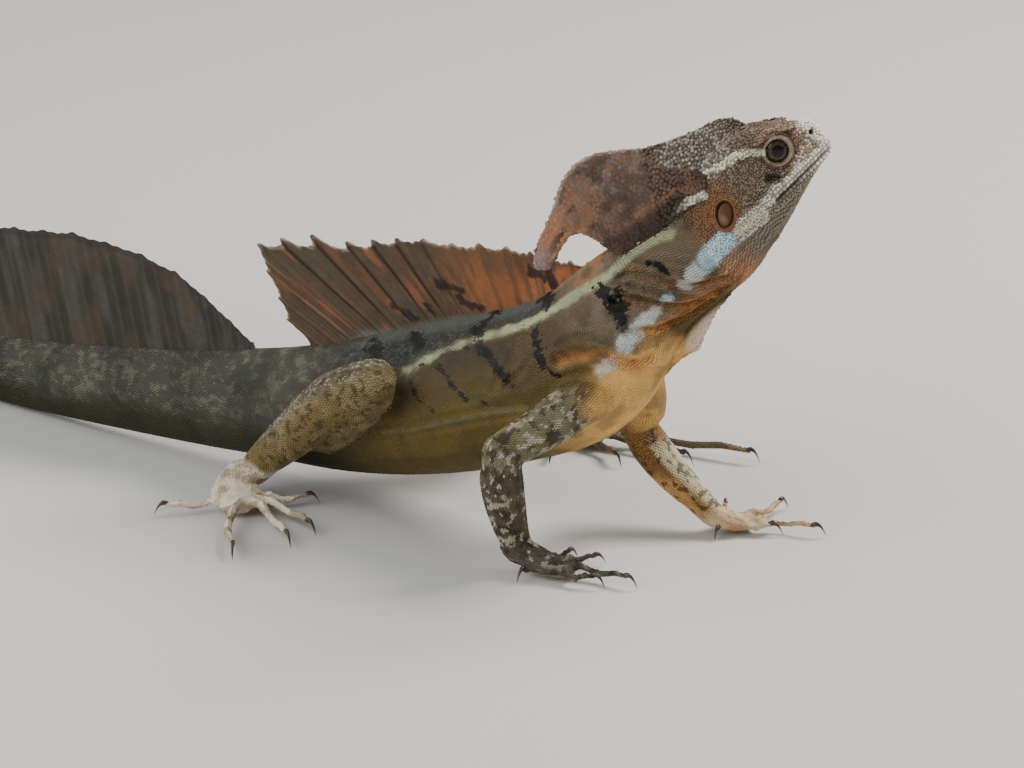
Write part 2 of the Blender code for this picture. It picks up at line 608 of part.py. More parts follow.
def ray_sail(name, roots, tips, sides, membrane, ray, notch, rows):
    """A membrane between rays that stand out of it as ridges and end in teeth on its rim."""
    all_roots, all_tips, all_sides, halves = [], [], [], []
    count = len(roots)
    ragged = random.Random(7)
    for j in range(count):
        tooth = ragged.uniform(-0.5, 0.7)
        for part, raised in ((-RAY_FLANK, 0), (0.0, 1), (RAY_FLANK, 0)):
            near = min(max(j + (1 if part > 0 else -1), 0), count - 1)
            if near == j and part != 0.0:
                continue
            t = abs(part)
            root, tip = roots[j].lerp(roots[near], t), tips[j].lerp(tips[near], t)
            along = (tip - root).normalized()
            sink = -tooth if raised else notch
            all_roots.append(root)
            all_tips.append(tip - along * min(sink, (tip - root).length * 0.2))
            all_sides.append(sides[j].lerp(sides[near], t).normalized())
            halves.append([m + r * raised for m, r in zip(membrane, ray)])
    return vane(name, all_roots, all_tips, all_sides, *zip(*halves), rows=rows)


def make_dorsal_sail():
    roots, tips = [], []
    for (x, z), root_x in zip(SAIL_RIM, spread(SAIL_ROOT_FRONT, SAIL_ROOT_BACK, len(SAIL_RIM))):
        root = ridge_point(ridge_station(root_x), SAIL_SINK)
        roots.append(root)
        tips.append(Vector((x, root.y, z)))
    return ray_sail("dorsal_sail", roots, tips, [Vector((0, 1, 0))] * len(roots),
                    SAIL_HALVES, SAIL_RAY, SAIL_NOTCH, rows=4)


def tail_sail_height(u):
    stations = [row[0] for row in TAIL_SAIL_HEIGHTS]
    i = max(k for k in range(len(stations) - 1) if stations[k] <= u)
    t = (u - stations[i]) / (stations[i + 1] - stations[i])
    return TAIL_SAIL_HEIGHTS[i][1] + (TAIL_SAIL_HEIGHTS[i + 1][1] - TAIL_SAIL_HEIGHTS[i][1]) * t


def make_tail_sail():
    roots, tips, sides = [], [], []
    for u in spread(TAIL_SAIL_HEIGHTS[0][0], TAIL_SAIL_HEIGHTS[-1][0] - 0.01, TAIL_RAYS):
        centre, left, up, forward, sizes = body_frame(u)
        height = tail_sail_height(u)
        roots.append(ridge_point(u, TAIL_SAIL_SINK))
        tips.append(ridge_point(u) + Vector((0, 0, 1)) * height - forward * height * TAIL_RAY_SLOPE)
        sides.append(left)
    return ray_sail("tail_sail", roots, tips, sides, TAIL_SAIL_HALVES, TAIL_SAIL_RAY,
                    TAIL_SAIL_NOTCH, rows=3)


def make_throat_flap():
    """The loose fold of skin under the throat, hanging from the neck's lower line."""
    roots, edges, sides = [], [], []
    for step in spread(0, len(FLAP_DROPS) - 1, 11):
        u, drop = smooth_row(FLAP_DROPS, step)
        centre, left, up, forward, (half_width, half_depth, pinch) = body_frame(u)
        roots.append(centre - up * (half_depth - FLAP_SINK))
        edges.append(centre - up * (half_depth + drop))
        sides.append(left)
    count = len(roots)
    return vane("throat_flap", roots, edges, sides, [FLAP_HALVES[0]] * count,
                [FLAP_HALVES[1]] * count, [FLAP_HALVES[2]] * count, rows=4)


# Limbs

def make_limb(name, foot_name, upper, lower, palm, toes, cut_height, body):
    """An arm or a leg cut clear of the body, and its hand or foot below a thin level cut."""
    limb = limb_length(name, upper)
    pieces = [limb_length("lower", lower), limb_length("palm", palm, 10, 1, (1, 1))]
    for i, numbers in enumerate(toes):
        pieces += toe("toe_" + str(i), *numbers)
    boolean(limb, pieces, "UNION")
    stand_flat(limb)
    foot = part_at(limb, foot_name, Vector((0, 0, cut_height)), Vector((0, 0, -1)))
    cut_clear(limb, [body])
    return limb, foot


# Materials

def paint(thing, colour, roughness):
    material = bpy.data.materials.new(thing.name)
    material.use_nodes = True
    surface = material.node_tree.nodes["Principled BSDF"]
    surface.inputs["Base Color"].default_value = (*colour, 1)
    surface.inputs["Roughness"].default_value = roughness
    surface.inputs["Metallic"].default_value = 0.0
    thing.data.materials.clear()
    thing.data.materials.append(material)


def build():
    head, crest = make_head(), make_crest()
    boolean(head, [crest] + make_lids() + make_brows(), "UNION")
    cut_top, cut_bottom = (head_point(*spot) for spot in CREST_CUT)
    forward, left, up = head_axes()
    ahead = (cut_top - cut_bottom).cross(left).normalized()
    backward = ahead if ahead.dot(forward) < 0 else -ahead
    head_crest = part_at(head, "head_crest", cut_bottom, backward)

    eyes = []
    for name, side in (("eye_right", -1), ("eye_left", 1)):
        eyes.append(ball(name, EYE_BACK, EYE_RISE, EYE_OUT * side, EYE_RADIUS, EYE_RADIUS, EYE_DEPTH))
    sockets = [ball("socket", EYE_BACK, EYE_RISE, EYE_OUT * side, EYE_RADIUS + GAP, EYE_RADIUS + GAP,
                    EYE_DEPTH + GAP) for side in (-1, 1)]
    boolean(head, sockets, "DIFFERENCE")
    pits = []
    eardrums = []
    for end, side in (("right", -1), ("left", 1)):
        back, rise, out, length, height, depth = NOSTRIL
        pits.append(ball("nostril", back, rise, out * side, length, height, depth, 8, 4))
        back, rise, out, length, height, depth = EAR
        pits.append(ball("ear_pit", back, rise, out * side, length, height, depth, 12, 6, EAR_TILT))
        back, rise, out, length, height, depth = EARDRUM
        eardrums.append(ball("eardrum_" + end, back, rise, out * side, length, height, depth, 10, 4,
                             EAR_TILT))
    boolean(head, pits, "DIFFERENCE")

    neck = make_neck()
    torso = make_body_length("torso", NECK_END, TRUNK_END, 20)
    tail_1 = make_body_length("tail_1", TAIL_CUTS[0], TAIL_CUTS[1], 12)
    tail_2 = make_body_length("tail_2", TAIL_CUTS[1], TAIL_CUTS[2], 9)
    tail_3 = make_body_length("tail_3", TAIL_CUTS[2], TAIL_CUTS[3], 9)
    tail_4 = make_tail_tip()
    for length in (tail_1, tail_2, tail_3, tail_4):
        stand_flat(length)
    cut_clear(head, [neck])
    cut_clear(head_crest, [neck])

    sail = make_dorsal_sail()
    cut_clear(sail, [torso, neck])
    tail_sail = make_tail_sail()
    cut_clear(tail_sail, [tail_1, tail_2, tail_3, tail_4])
    flap = make_throat_flap()
    cut_clear(flap, [neck, head])

    arm_right, hand_right = make_limb("arm_right", "hand_right", UPPER_ARM_RIGHT, FOREARM_RIGHT,
                                      HAND_RIGHT_PALM, HAND_RIGHT_TOES, WRIST_RIGHT, torso)
    arm_left, hand_left = make_limb("arm_left", "hand_left", UPPER_ARM_LEFT, FOREARM_LEFT,
                                    HAND_LEFT_PALM, HAND_LEFT_TOES, WRIST_LEFT, torso)
    leg_right, foot_right = make_limb("leg_right", "foot_right", THIGH_RIGHT, SHANK_RIGHT,
                                      FOOT_RIGHT_PALM, FOOT_RIGHT_TOES, ANKLE_RIGHT, torso)
    leg_left, foot_left = make_limb("leg_left", "foot_left", THIGH_LEFT, SHANK_LEFT,
                                    FOOT_LEFT_PALM, FOOT_LEFT_TOES, ANKLE_LEFT, torso)

    paint(head, (0.30, 0.20, 0.13), 0.6)
    paint(head_crest, (0.26, 0.13, 0.08), 0.6)
    for eye in eyes:
        paint(eye, (0.05, 0.04, 0.02), 0.1)
    for eardrum in eardrums:
        paint(eardrum, (0.35, 0.20, 0.14), 0.5)
    paint(flap, (0.45, 0.33, 0.25), 0.6)
    paint(neck, (0.38, 0.24, 0.14), 0.6)
    paint(torso, (0.34, 0.27, 0.14), 0.6)
    paint(sail, (0.36, 0.17, 0.08), 0.6)
    for length in (tail_1, tail_2, tail_3, tail_4):
        paint(length, (0.22, 0.22, 0.15), 0.6)
    paint(tail_sail, (0.20, 0.13, 0.08), 0.6)
    for limb in (arm_right, leg_right, arm_left, leg_left):
        paint(limb, (0.30, 0.26, 0.16), 0.6)
    for foot in (hand_right, hand_left, foot_right, foot_left):
        paint(foot, (0.42, 0.34, 0.24), 0.6)


def stand_on_origin():
    """Moves the whole so that the origin is the centre of its footprint."""
    corners = [vert.co for thing in model.objects for vert in thing.data.vertices]
    middle_x = (min(c.x for c in corners) + max(c.x for c in corners)) / 2
    middle_y = (min(c.y for c in corners) + max(c.y for c in corners)) / 2
    lowest = min(c.z for c in corners)
    for thing in model.objects:
        thing.data.transform(Matrix.Translation((-middle_x, -middle_y, -lowest)))
        thing.data.set_sharp_from_angle(angle=math.radians(60))
    return Vector((-middle_x, -middle_y, -lowest))


for old in list(bpy.data.objects):
    bpy.data.objects.remove(old)
model = bpy.data.collections.new("common_basilisk")
bpy.context.scene.collection.children.link(model)
build()
moved = stand_on_origin()
print("moved by", moved)
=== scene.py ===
# Common basilisk, a life-size still model: skin, scales, sails, eyes and claws round the frame

import math
import random

import bpy
import bmesh
import numpy as np
from mathutils import Matrix, Vector
from mathutils.bvhtree import BVHTree
from mathutils.kdtree import KDTree


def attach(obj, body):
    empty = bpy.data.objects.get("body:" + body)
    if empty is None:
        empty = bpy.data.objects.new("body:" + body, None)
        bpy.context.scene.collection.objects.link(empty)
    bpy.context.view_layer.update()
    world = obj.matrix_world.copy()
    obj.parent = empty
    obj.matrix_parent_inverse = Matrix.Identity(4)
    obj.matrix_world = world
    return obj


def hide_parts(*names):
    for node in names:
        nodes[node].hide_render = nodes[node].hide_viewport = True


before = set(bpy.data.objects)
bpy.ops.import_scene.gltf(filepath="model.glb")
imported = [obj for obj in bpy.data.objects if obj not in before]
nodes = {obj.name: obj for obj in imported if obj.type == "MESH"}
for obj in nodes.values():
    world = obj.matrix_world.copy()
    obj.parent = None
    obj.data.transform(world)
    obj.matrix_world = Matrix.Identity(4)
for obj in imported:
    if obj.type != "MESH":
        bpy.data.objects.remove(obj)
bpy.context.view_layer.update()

# Lengths below are millimetres in the animal's own frame: x forward along the trunk, y to its
# left, z up from the floor, with the origin under the shoulders

mm = 0.001
standing = np.array((325.7, -18.5, 0.0))    # that origin, seen from the middle of the footprint


def toWorld(points):
    return (np.asarray(points, float) + standing) * mm


def toModel(points):
    return np.asarray(points, float) / mm - standing


def unit(vectors):
    vectors = np.asarray(vectors, float)
    return vectors / np.maximum(np.linalg.norm(vectors, axis=-1, keepdims=True), 1e-9)


def step(values, start, end):
    t = np.clip((np.asarray(values, float) - start) / (end - start), 0, 1)
    return t * t * (3 - 2 * t)


def smoothCurve(points, steps=8):
    points = np.asarray(points, float)
    last = len(points) - 1
    made = []
    for i in range(last):
        a, b = points[max(i - 1, 0)], points[i]
        c, d = points[i + 1], points[min(i + 2, last)]
        for k in range(steps):
            t = k / steps
            made.append(0.5 * (2 * b + (c - a) * t + (2 * a - 5 * b + 4 * c - d) * t * t
                               + (3 * b - a - 3 * c + d) * t ** 3))
    made.append(points[-1])
    return np.array(made)


def lengthsAlong(points):
    return np.concatenate(([0], np.cumsum(np.linalg.norm(np.diff(points, axis=0), axis=1))))


def pointAt(at, marks, table):
    # a row of a table of points, read between its marks
    return np.array([np.interp(at, marks, table[:, k]) for k in range(3)])


def pointTree(points):
    tree = KDTree(len(points))
    for i, spot in enumerate(points):
        tree.insert(spot, i)
    tree.balance()
    return tree


def pick(index, *parts):
    return [part[index] for part in parts]


def varied(draw, many, share):
    return 1 + share * draw.standard_normal((many, 1)).clip(-2, 2)


# Soft random fields, the same each run

def hashGrid(cell, seed):
    x, y, z = (cell[:, k].astype(np.int64) for k in range(3))       # large primes mix the three
    n = (x * 73856093) ^ (y * 19349663) ^ (z * 83492791) ^ (seed * 26544357)
    n = (n ^ (n >> 13)) * 127412617
    n = (n ^ (n >> 17)) * 31415927
    return ((n >> 5) & 65535) / 65535.0


def softNoise(points, size, seed):
    cell = np.asarray(points, float) / size
    base = np.floor(cell)
    part = cell - base
    part = part * part * (3 - 2 * part)
    total = np.zeros(len(cell))
    for dx in (0, 1):
        for dy in (0, 1):
            for dz in (0, 1):
                weight = np.abs(1 - dx - part[:, 0]) * np.abs(1 - dy - part[:, 1])
                weight = weight * np.abs(1 - dz - part[:, 2])
                total += weight * hashGrid(base + (dx, dy, dz), seed)
    return total


# Body line and head plane

spineRows = (      # centre x, y, z and half depth, neck to tail tip
    (40.2, 20.2, 114.5, 16.0), (33.4, 13.9, 106.8, 15.9), (25.0, 9.0, 100.6, 17.0),
    (15.6, 4.0, 92.6, 19.2), (7.6, 1.5, 82.4, 22.2), (0.0, 0.2, 71.4, 25.4),
    (-12.0, 0.0, 61.2, 26.8), (-30.0, 0.0, 53.4, 27.0), (-50.0, 0.0, 46.2, 27.2),
    (-70.0, 0.0, 40.0, 26.4), (-88.0, 0.0, 35.2, 25.2), (-105.0, 0.0, 31.2, 23.4),
    (-121.0, 0.0, 28.6, 21.6), (-137.0, 0.0, 26.6, 20.2), (-165.0, 0.6, 22.9, 18.4),
    (-213.0, 3.0, 18.0, 16.0), (-260.0, 7.0, 13.8, 13.9), (-305.0, 12.0, 11.9, 12.0),
    (-360.0, 20.0, 9.8, 9.9), (-425.0, 31.0, 7.7, 7.8), (-490.0, 43.0, 5.9, 6.0),
    (-555.0, 53.0, 4.3, 4.4), (-620.0, 58.0, 2.9, 3.0), (-675.0, 56.0, 1.8, 1.9),
    (-716.0, 49.0, 0.95, 1.0))
spineSteps = 16
spineLine = smoothCurve(spineRows, spineSteps)
spineAhead = -unit(np.gradient(spineLine[:, :3], axis=0))
spineLeft = unit(np.cross((0, 0, 1), spineAhead))
spineUp = np.cross(spineAhead, spineLeft)
spineArc = lengthsAlong(spineLine[:, :3])
spineTree = pointTree(spineLine[:, :3])

headPlace = {"snout": (62.3, 40.0, 141.6), "yaw": 42, "pitch": 36}
snout = np.array(headPlace["snout"])
yaw, pitch = math.radians(headPlace["yaw"]), math.radians(headPlace["pitch"])
headAhead = np.array((math.cos(pitch) * math.cos(yaw), math.cos(pitch) * math.sin(yaw), math.sin(pitch)))
headLeft = np.array((-math.sin(yaw), math.cos(yaw), 0))
headUp = np.cross(headAhead, headLeft)

# Places on the head: back from the snout, rise over its line, out from its middle
mouth = {"line": -0.45, "end": 25.5, "depth": 1.1, "half": 0.5, "lipBulge": 0.25, "droopFrom": 18,
         "droop": 0.05}
nostril = {"back": 3.2, "rise": 7.8, "radius": 0.95, "depth": 1.5, "rim": 0.35}
ear = {"back": 41.0, "rise": 5.6, "long": 2.6, "high": 4.2, "tilt": 36, "depth": 1.6, "rim": 0.6}
eyeSpot = {"back": 15.6, "rise": 11.2, "out": 6.2}


def headPoint(back, rise, out=0.0):
    return snout - headAhead * back + headUp * rise + headLeft * out


def headCoords(points):
    q = np.asarray(points, float) - snout
    return -(q @ headAhead), q @ headUp, q @ headLeft


def reachFrom(spot, back, rise):
    return np.hypot(back - spot["back"], rise - spot["rise"])


def overMouth(back, rise):
    return rise - mouth["line"] + mouth["droop"] * np.maximum(back - mouth["droopFrom"], 0)


def earReach(back, rise):
    # 1 on the rim of the ear's oval, less inside it
    turn = math.radians(ear["tilt"])
    a, b = back - ear["back"], rise - ear["rise"]
    return np.hypot((a * math.cos(turn) + b * math.sin(turn)) / ear["long"],
                    (b * math.cos(turn) - a * math.sin(turn)) / ear["high"])


def bodyCoords(points):
    points = np.asarray(points, float)
    near = np.array([spineTree.find(p)[1] for p in points])
    q = points - spineLine[near, :3]
    arc = spineArc[near] - (q * spineAhead[near]).sum(1)
    return arc, (q * spineUp[near]).sum(1), (q * spineLeft[near]).sum(1), spineLine[near, 3]


def mirrored(points):
    points = np.asarray(points, float)
    near = [spineTree.find(p)[1] for p in points]
    side = ((points - spineLine[near, :3]) * spineLeft[near]).sum(1)
    return points - 2 * side[:, None] * spineLeft[near]


# Palette, as light that the skin gives back

paint = {
    "backGreen": (0.024, 0.027, 0.02), "backGrey": (0.105, 0.112, 0.088), "mint": (0.44, 0.47, 0.26),
    "rust": (0.086, 0.056, 0.02), "flankShade": (0.048, 0.034, 0.017), "gold": (0.128, 0.088, 0.016),
    "belly": (0.105, 0.07, 0.008), "chest": (0.8, 0.47, 0.14), "chestShade": (0.22, 0.13, 0.045),
    "neck": (0.19, 0.143, 0.084), "crease": (0.78, 0.31, 0.09), "blue": (0.52, 0.7, 0.76),
    "cream": (0.72, 0.68, 0.48), "band": (0.66, 0.62, 0.53), "black": (0.006, 0.005, 0.004),
    "fold": (0.135, 0.13, 0.075), "tail": (0.058, 0.058, 0.042), "fleck": (0.15, 0.142, 0.095),
    "tailGreen": (0.03, 0.03, 0.01), "thigh": (0.205, 0.145, 0.048), "thighLight": (0.33, 0.26, 0.12),
    "spot": (0.026, 0.018, 0.011), "knee": (0.52, 0.47, 0.37), "foreArm": (0.100, 0.076, 0.045),
    # the near foot is made pale, partly as painted light
    "armLight": (0.31, 0.28, 0.155), "farArm": (0.66, 0.36, 0.12), "foot": (0.92, 0.8, 0.6),
    "hand": (0.085, 0.072, 0.052), "handTipHighlight": (0.72, 0.56, 0.42), "crown": (0.155, 0.108, 0.072),
    "casque": (0.11, 0.082, 0.064), "casqueLight": (0.5, 0.43, 0.36), "brow": (0.06, 0.022, 0.013),
    "browTan": (0.24, 0.135, 0.08), "crest": (0.115, 0.072, 0.052), "crestBlotchAndShade": (0.03, 0.017, 0.012),
    "crestOrange": (0.4, 0.19, 0.1), "lilac": (0.30, 0.205, 0.190), "crestGrey": (0.2, 0.165, 0.145),
    "crestRimPaleAndLit": (0.50, 0.38, 0.30), "lip": (0.9, 0.83, 0.72), "loreal": (0.32, 0.235, 0.155),
    "cheek": (0.135, 0.098, 0.066), "cheekLight": (0.25, 0.195, 0.13), "jowl": (0.20, 0.092, 0.036),
    "throat": (0.275, 0.225, 0.165), "throatOrange": (0.68, 0.33, 0.145), "flap": (0.95, 0.75, 0.55),
    "lid": (0.36, 0.29, 0.205), "earRim": (0.30, 0.125, 0.045), "earIn": (0.1, 0.045, 0.022),
    "sailRust": (0.27, 0.092, 0.03), "sailBrown": (0.07, 0.04, 0.02), "sailOlive": (0.046, 0.042, 0.026),
    "sailDark": (0.014, 0.009, 0.006), "sailEdge": (0.50, 0.42, 0.34), "tailSail": (0.028, 0.025, 0.018),
    "tailSailLight": (0.056, 0.054, 0.044), "tailSailRust": (0.062, 0.038, 0.021),
    # the far foot's dark colour here is painted shade
    "footMottleAndShade": (0.34, 0.215, 0.115), "armPaleHighlight": (0.80, 0.72, 0.46), "farFoot": (0.150, 0.110, 0.066),
    "farHand": (0.56, 0.33, 0.17), "farArmShade": (0.20, 0.110, 0.034), "paleBlue": (0.62, 0.66, 0.62)}
paint = {key: np.array(value) for key, value in paint.items()}

# Markings on both sides of the head: colour, half width, softness, raggedness, line of (back, rise)
headMarkings = (
    ("cream", 1.1, 0.35, 0.5, ((19.5, 13.8), (23, 16.5), (26.6, 18.2), (29.8, 18.0), (33.3, 18.3),
                               (37.2, 18.6))),
    ("cream", 1.20, 0.40, 0.35, ((42.8, 12.9), (46.7, 13.7), (51.3, 13.7), (55, 14.0), (59, 13.5))),
    ("cream", 1.60, 0.40, 0.45, ((59.5, 13.2), (63.5, 11.8))),
    ("band", 2.1, 0.7, 0.4, ((22.5, 1.8), (26.7, 0.6), (32.4, -0.9))),
    ("band", 3.3, 0.8, 0.4, ((32.4, -1.2), (38.2, -1.3), (44.5, -1.2))),
    ("cream", 1.5, 1.6, 0.5, ((33, -1.4), (38.2, -1.6), (43, -1.5))),
    ("paleBlue", 3.0, 0.8, 0.6, ((50.0, -2.6), (57.0, -3.6), (60.5, -4.2))),
    ("blue", 3.3, 0.9, 0.5, ((46.0, -1.4), (50.5, -2.0), (54.0, -2.6))),
    ("black", 1.2, 0.8, 0.6, ((20.5, 4.6), (23.0, 6.4))))

# Markings on both sides of the body: the same, with the line in place
markings = (
    ("mint", 2.0, 0.9, 0.5, ((26, 1, 114.5), (19, -3, 111), (10, -10, 101), (3, -11, 96), (-6, -12, 89))),
    ("mint", 1.8, 1.0, 0.7, ((-6, -12, 89), (-17, -12, 82), (-28, -12, 76))),
    ("mint", 1.1, 1.6, 1.1, ((-28, -12, 76), (-43, -13, 70), (-52, -15, 65), (-64, -19, 57))),
    ("paleBlue", 1.7, 0.8, 0.7, ((37, 0, 100), (33, -2, 99))),
    ("blue", 1.8, 0.8, 0.8, ((30, -5, 95), (28, -6, 94))),
    ("paleBlue", 2.2, 0.8, 0.8, ((26, -7, 90), (23, -10, 87))),
    ("paleBlue", 2.9, 0.8, 0.9, ((21, -11, 83), (18, -13, 79))),
    ("band", 2.0, 1.4, 1.2, ((15, -15, 73), (11, -17, 70))),
    ("cheek", 2.6, 2.6, 1.2, ((23, -12, 78), (30, -6, 79))),
    ("crease", 0.9, 2.4, 1.0, ((21, -14, 71), (27, -10, 70))),
    ("black", 2.5, 0.25, 1.9, ((9, -13, 95), (13, -13, 95), (18, -12, 94))),
    ("black", 2.1, 0.25, 1.8, ((14, -13, 92), (17, -13, 88))),
    ("neck", 0.9, 0.3, 0.5, ((13.2, -13, 95.5), (14.2, -13, 95))),
    ("black", 1.2, 0.25, 1.2, ((19, -6, 107), (24, -6, 106), (29, -5, 104))),
    ("black", 1.9, 0.25, 1.5, ((-16, -15, 80), (-13, -17, 76), (-9, -20, 71))),
    ("black", 0.9, 0.25, 1.0, ((-5, -21, 68), (-2, -21, 67))),
    ("black", 0.9, 0.25, 0.9, ((-23, -21, 64), (-20, -22, 61))),
    ("black", 2.9, 0.3, 3.0, ((-23, -1, 91), (-20, -5, 88), (-14, -8, 88))),
    ("black", 2.0, 0.3, 2.4, ((-20, -3, 92), (-17, -5, 90))),
    ("black", 2.6, 0.3, 3.0, ((-38, -3, 80), (-39, -7, 77), (-42, -10, 73))),
    ("black", 2.2, 0.3, 2.8, ((-69, -6, 67), (-64, -11, 65), (-63, -14, 62))),
    ("black", 2.0, 0.3, 2.6, ((-86, -6, 60), (-82, -11, 59))),
    ("black", 1.5, 0.25, 1.2, ((-38, -15, 70), (-31, -18, 68))),
    ("black", 1.4, 0.25, 1.2, ((-31, -18, 68), (-26, -20, 65), (-20, -22, 61))),
    ("black", 0.9, 0.25, 1.1, ((-51, -19, 61), (-44, -22, 58), (-37, -23, 53))),
    ("black", 0.7, 0.25, 1.0, ((-60, -22, 54), (-54, -24, 48), (-49, -24, 47))),
    ("black", 0.7, 0.25, 0.8, ((-59, -18, 60), (-58, -18, 60))),
    ("black", 0.6, 0.25, 0.8, ((-41, -15, 68), (-43, -14, 69))),
    ("black", 0.5, 0.25, 0.7, ((-31, -23, 54), (-27, -23, 52))),
    ("black", 0.6, 0.25, 0.7, ((-46, -24, 44), (-47, -24, 44))),
    ("crease", 0.8, 1.3, 0.6, ((17, -11, 104), (27, -6, 101), (37, 0, 99), (44, 6, 101))),
    ("crease", 0.9, 1.6, 0.6, ((18, -12, 95), (27, -7, 93), (34, 0, 92), (42, 7, 97))),
    ("crease", 1.1, 1.8, 0.6, ((22, -10, 84), (26, -7, 84), (31, 0, 87), (38, 6, 92))),
    ("crease", 0.9, 2.6, 0.8, ((-2, -21, 72), (5, -19, 75), (11, -17, 76), (18, -13, 73))),
    ("fold", 0.55, 0.7, 0.4, ((-71, -24, 35), (-59, -24, 38), (-46, -24, 43), (-35, -23, 47),
                              (-26, -23, 50), (-14, -22, 53))))


def lineDistance(points, line):
    best = np.full(len(points), 1e9)
    for a, b in zip(line[:-1], line[1:]):
        along = b - a
        t = np.clip(((points - a) @ along) / max(along @ along, 1e-9), 0, 1)
        best = np.minimum(best, np.linalg.norm(points - a - t[:, None] * along, axis=1))
    return best


def shadeOf(colour):
    return paint[colour] if isinstance(colour, str) else np.asarray(colour)


def lay(colour, *coats):
    # coats one over another, each with how far it covers; a colour is a paint's name or numbers
    colour = shadeOf(colour)
    for over, mask in coats:
        mask = np.clip(mask, 0, 1)[:, None]
        colour = colour * (1 - mask) + shadeOf(over) * mask
    return colour


stripeLine = np.array(((27, 2, 116), (10, -10, 101), (-6, -12, 89), (-17, -12, 82), (-28, -12, 76),
                       (-43, -13, 70), (-52, -15, 65), (-64, -19, 57), (-90, -16, 50), (-137, -12, 40)))
stripeCoords = bodyCoords(stripeLine)


def crestPigment(points, back, rise, out, coarse, medium):
    blot = softNoise(points, 3.0, 43)
    spots = softNoise(points, 1.7, 44)
    streak = softNoise(np.stack((back * 0.30, rise * 1.3 + back * 0.5, out * 0.3), 1), 2.4, 41)
    low = 17.5 + 2.0 * np.sin(back * 0.4)
    rim = np.interp(back, crestRim[:, 0], crestRim[:, 1])
    return lay(
        "crest",
        ("crestOrange", 0.38 * step(blot + 0.3 * coarse, 0.55, 0.95)),
        ("crestGrey", 0.60 * step(spots, 0.50, 0.78) * step(rise, 22, 36)),
        ("crestBlotchAndShade", 0.55 * step(blot, 0.50, 0.28) * step(back, 58, 66)),
        # painted shade: darker low on the front of the crest
        ("crestBlotchAndShade", 0.55 * step(24 - rise, 0, 5) * step(60 - back, 0, 8)),
        ("crestOrange", 0.30 * step(2.6 - np.abs(rise - low), 0, 2.6) * step(back, 40, 48)
         * step(66 - back, 0, 6)),
        # painted shade: darker along the crest's lower edge
        ("crestBlotchAndShade", 0.85 * step(16.5 + 0.06 * back - rise, 0, 3.5) * step(back, 44, 50)),
        ("crestOrange", 0.85 * step(streak, 0.40, 0.66) * step(back, 72, 86)),
        ("lilac", 0.90 * step(back + 4 * (medium - 0.5), 91, 98)),
        # pale rim under the crest's top edge, partly its own colour, partly painted highlight from above
        ("crestRimPaleAndLit", 0.7 * step(rise - rim, -1.3, -0.3) * step(back, 30, 40) * step(92 - back, 0, 8)))


# Lines on the side of the head, back and rise
crestRim = np.array(((17.6, 20.0), (22.6, 28.2), (28.2, 30.2), (34, 31), (41, 33.6), (48, 35.8),
                     (55.5, 40.6), (62.5, 44.6), (69.5, 45.8), (76.5, 43.8), (82.7, 39.2), (89.4, 35.0),
                     (95.4, 31.6), (101, 25)))
browBand = np.array(((9.8, 8.8), (9.0, 11.0), (10.6, 13.9), (14.0, 16.0), (17.5, 16.9)))
casqueEdge = np.array(((30, 17.6), (36, 18.4), (38.5, 19.7), (44.4, 25.2), (48.9, 28.8), (50.5, 37),
                       (52, 60)))
casqueRoot = np.array(((0, 10), (8, 13.4), (14, 17.6), (19, 19.0), (24, 18.4), (34, 18.0), (46, 16.5),
                       (60, 15)))


def headPigment(points, coarse, medium, grain):
    back, rise, out = headCoords(points)
    wide = np.abs(out)
    flat = np.stack((back, rise), 1)
    crownLine = np.interp(back, casqueRoot[:, 0], casqueRoot[:, 1])
    crown = lay("crown", ("cheekLight", 0.45 * step(grain, 0.5, 0.9)),
                ("brow", 0.45 * step(medium, 0.58, 0.8)))
    pearls = step(back, 33, 42) * step(25 - rise, 0, 6) * step(grain, 0.62, 0.75)
    net = lay("casque", ("casqueLight", 0.12 + 0.55 * step(grain + 0.3 * medium, 0.25, 0.95)),
              ("lip", 0.40 * pearls))
    onCasque = step(back + 6 * (coarse - 0.5), 20, 30) * step(rise - crownLine + 1.2, -0.6, 1.2)
    browFar = lineDistance(flat, browBand)
    lids = reachFrom(eyeSpot, back, rise)
    tip = step(4.2 - back + 0.2 * (rise - 5) + medium, 0, 1.8)
    seam = overMouth(back, rise)
    under = step(-0.6 - seam, 0, 0.8) * (1 - 0.85 * step(15 - back, 0, 9) * step(3.2 + seam, 0, 1.2))
    rear = step(back + 5 * (medium - 0.5) - 0.8 * (rise + 10), 36, 54)
    throat = lay("throat", ("throatOrange", rear), ("cheek", 0.35 * step(grain, 0.5, 0.8)))
    return lay(
        "cheek",
        ("cheekLight", 0.75 * step(grain, 0.42, 0.60)),
        ("loreal", step(17 - back + 2 * (medium - 0.5), -1, 3)),
        ("lip", 0.55 * step(grain + 0.5 * medium, 0.85, 1.0) * step(16 - back, 0, 3)),
        ("jowl", step(back + 5 * (medium - 0.5), 32, 40) * step(16.5 - rise, 0, 2) * 0.92),
        (crown, step(rise - crownLine, -1.2, 1.0)),
        (net, onCasque * step(62 - back - 0.35 * rise + 6 * (coarse - 0.5), 0, 7)),
        ("browTan", 0.6 * step(3.0 - browFar, 0, 1.2) * step(wide, 2.5, 4.5)),
        ("brow", step(1.35 - browFar + 0.5 * (medium - 0.5), -0.4, 0.4) * step(wide, 6.0, 7.4)
         * step(16.4 - rise, 0, 0.8)),
        ("lid", step(5.5 - lids, 0, 0.5) * step(wide, 5, 7) * (0.65 + 0.35 * grain)),
        ("brow", 0.80 * step(0.55 - np.abs(lids - 5.8), 0, 0.4) * step(wide, 5, 7)),
        ("lip", tip * step(12.4 - rise, 0, 1.5)),
        ("lip", step(27.5 - back, 0, 2.5) * step(seam, -0.2, 0.2) * step(3.6 - seam, 0, 0.7)),
        ("lip", 0.85 * step(15 - back, 0, 9) * step(-seam, 0, 0.3) * step(3.2 + seam, 0, 1.2)),
        (throat, under))


